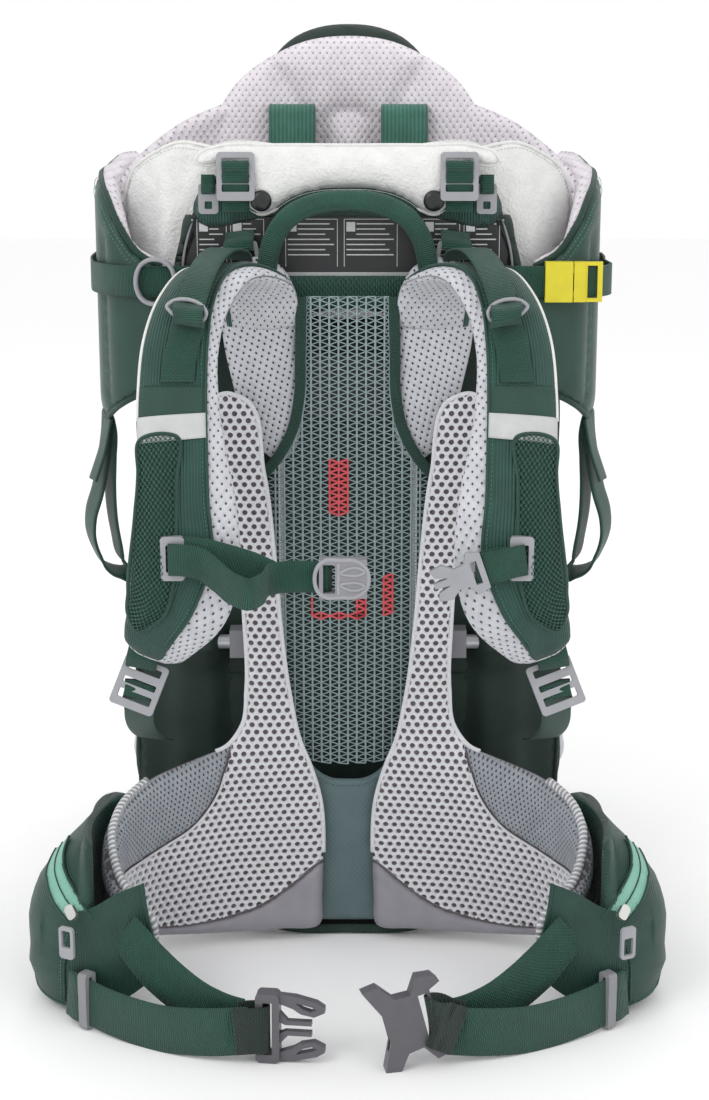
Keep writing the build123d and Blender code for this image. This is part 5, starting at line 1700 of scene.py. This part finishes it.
for side, end in both_sides:
    rows_here = pocket_face(side)
    pocket = skin("hip_pocket_shell_" + end, rows_here, pocket_cloth)
    chart_here = pocket.data.uv_layers["chart"].data
    flat = np.zeros(len(chart_here) * 2)
    chart_here.foreach_get("uv", flat)
    flat = flat.reshape(-1, 2) @ np.array([[0.797, 0.607], [-0.607, 0.797]])
    chart_here.foreach_set("uv", flat.ravel())
    tape_line, tape_out = on_pocket(rows_here,
        eased([(0.545, 78), (0.53, 85), (0.50, 94), (0.455, 104), (0.40, 113), (0.34, 120), (0.28, 124)], 90),
        0.0008)
    run = unit(np.gradient(tape_line, axis=0))
    tape = ribbon("zip_tape_" + end, tape_line, unit(np.cross(run, tape_out)), 0.0185, 0.0016, mint_tape)
    teeth = piping("zip_teeth", tape_line + tape_out * 0.0011, 0.0006, thread_dark, 6)
    edges = [piping("zip_edge", tape_line + tape_out * 0.0008 + unit(np.cross(run, tape_out)) * off, 0.0011,
                    thread_dark, 6) for off in (-0.0098, 0.0098)]
    seams = []
    for spots in ([(0.535, 86), (0.56, 83), (0.60, 78), (0.63, 74)],
                  [(0.52, 82), (0.50, 62), (0.485, 40), (0.48, 20), (0.475, 5)],
                  [(0.20, 24), (0.28, 18), (0.36, 12), (0.475, 8)]):
        line, out = on_pocket(rows_here, eased(spots, 60), 0.0002)
        seams.append(piping("pocket_seam", line, 0.0012, pocket_cloth, 6))
        cross = unit(np.cross(unit(np.gradient(line, axis=0)), out))
        seams.append(stitching("pocket_stitch", line + cross * 0.0032 + out * 0.0004,
            thread_green, 0.003, 0.00032))
    tongue_rows = []
    for t in np.linspace(0, 1, 16):
        top = course([(216, -178, 88), (196, -183, 96), (174, -186, 110), (157, -184, 116)], 16)[int(t * 15)]
        low = course([(216, -177, 8), (194, -184, 10), (166, -188, 26), (141, -183, 46)], 16)[int(t * 15)]
        s = np.linspace(0, 1, 18)[:, None]
        bulge = np.stack([3 * np.sin(math.pi * s[:, 0]) * t, -2.5 * np.sin(math.pi * s[:, 0]), 0 * s[:, 0]],
                         -1)
        tongue_rows.append((top * (1 - s) + low * s + bulge) * (side, 1, 1) * mm)
    tongue = skin("hip_tongue_" + end, tongue_rows, pocket_cloth, closed_ring=False)
    hem = piping("tongue_hem", np.array(tongue_rows)[-1], 0.0014, thread_dark, 7)
    zip_trim = joined("hip_pocket_trim_" + end, [teeth] + edges + seams + [tongue, hem])
    for piece, finish in ((pocket, "green_fabric"), (tape, "green_fabric"), (zip_trim, "green_fabric")):
        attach(piece, "hip_" + end)
    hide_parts("hip_pocket_" + end)
dress(plated, "zip_slider_left", "zip_slider_right", edge=0.0008, segments=3)
dress(light_plastic, "zip_pull_left", "zip_pull_right", edge=0.0008, segments=3)

# ---- Waist webbing, glides and buckle ------------------------------------------------------------
# Wide webbing leaves each fin, turns through its buckle half and comes back on the outside to a
# sliding glide. The two halves lie open, the female one tilted.

belt_web = woven("belt_webbing", "062f25", "145543", 0.0016)
# The wraps round the buckle halves get a darker copy of the belt webbing: painted shade.
belt_fold_shaded = woven("belt_fold_shaded", "03150f", "092c23", 0.0016)
belt_wide, belt_thick = 0.038, 0.0022
for side, end in both_sides:
    inner = course([(172, -188, 79), (163, -195, 71), (149, -204, 58), (130, -215, 45), (108, -226, 34),
                    (90, -233, 29), (78, -238, 28)], 110) * (side, 1, 1) * mm
    share = np.linspace(0, 1, 110)[:, None]
    turned = (1 - share) ** 1.6
    lean = np.array([-side * 0.42, 0, 0.92]) * turned + np.array([0.0, 0, 1]) * (1 - turned)
    inner_web = ribbon("belt_inner", inner, unit(lean),
                       belt_wide * (0.86 + 0.14 * np.minimum(share[:, 0] * 3, 1)), belt_thick, belt_web)
    outer = course([(217, -183, 25), (211, -189.5, 24), (200, -196, 23), (184, -207, 21), (160, -221, 19),
                    (136, -233, 19), (110, -243, 22), (90, -248.5, 25), (72, -250.5, 27)],
                   140) * (side, 1, 1) * mm
    outer_web = ribbon("belt_outer", outer, (0, 0.05, 1), belt_wide, belt_thick, belt_web)
    stub = ribbon("belt_stub", course([(214, -183, 25), (212, -186, 25), (206, -190, 24)], 12) * (side, 1, 1)
                  * mm, (0, 0, 1), belt_wide, 0.0036, belt_web)
    if side < 0:
        wrap = [(-82, -240, 27), (-70, -238.2, 27), (-62, -239, 27), (-58.6, -245, 27), (-62, -252, 27.5),
                (-72, -252.6, 27.5), (-84, -250.5, 26.5)]
        tilt = (0, 0, 1)
    else:
        wrap = [(84, -239, 27), (74, -241, 30), (66, -243.5, 34), (61.2, -251, 37), (65, -258.5, 37.5),
                (73, -256.5, 33), (84, -251.5, 27)]
        tilt = (-0.16, 0, 1)
    wrapped = ribbon("belt_wrap", course(wrap, 60) * mm, tilt, 0.0375, 0.0024, belt_fold_shaded)
    hem_line = np.array([(side * 0.0885, -0.2502, z * mm) for z in np.linspace(8, 43, 24)])
    webs = joined("belt_webbing_" + end, [inner_web, outer_web, stub, wrapped,
        stitching("belt_stitch", hem_line, thread_dark, 0.0022, 0.0004)])
    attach(webs, "hip_" + end)
    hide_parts("belt_web_" + end)
dress(mid_plastic, "belt_glide_left", "belt_glide_right", edge=0.002, segments=4)
dress(dark_plastic, "belt_buckle_male", "belt_buckle_female", edge=0.0022, segments=4)
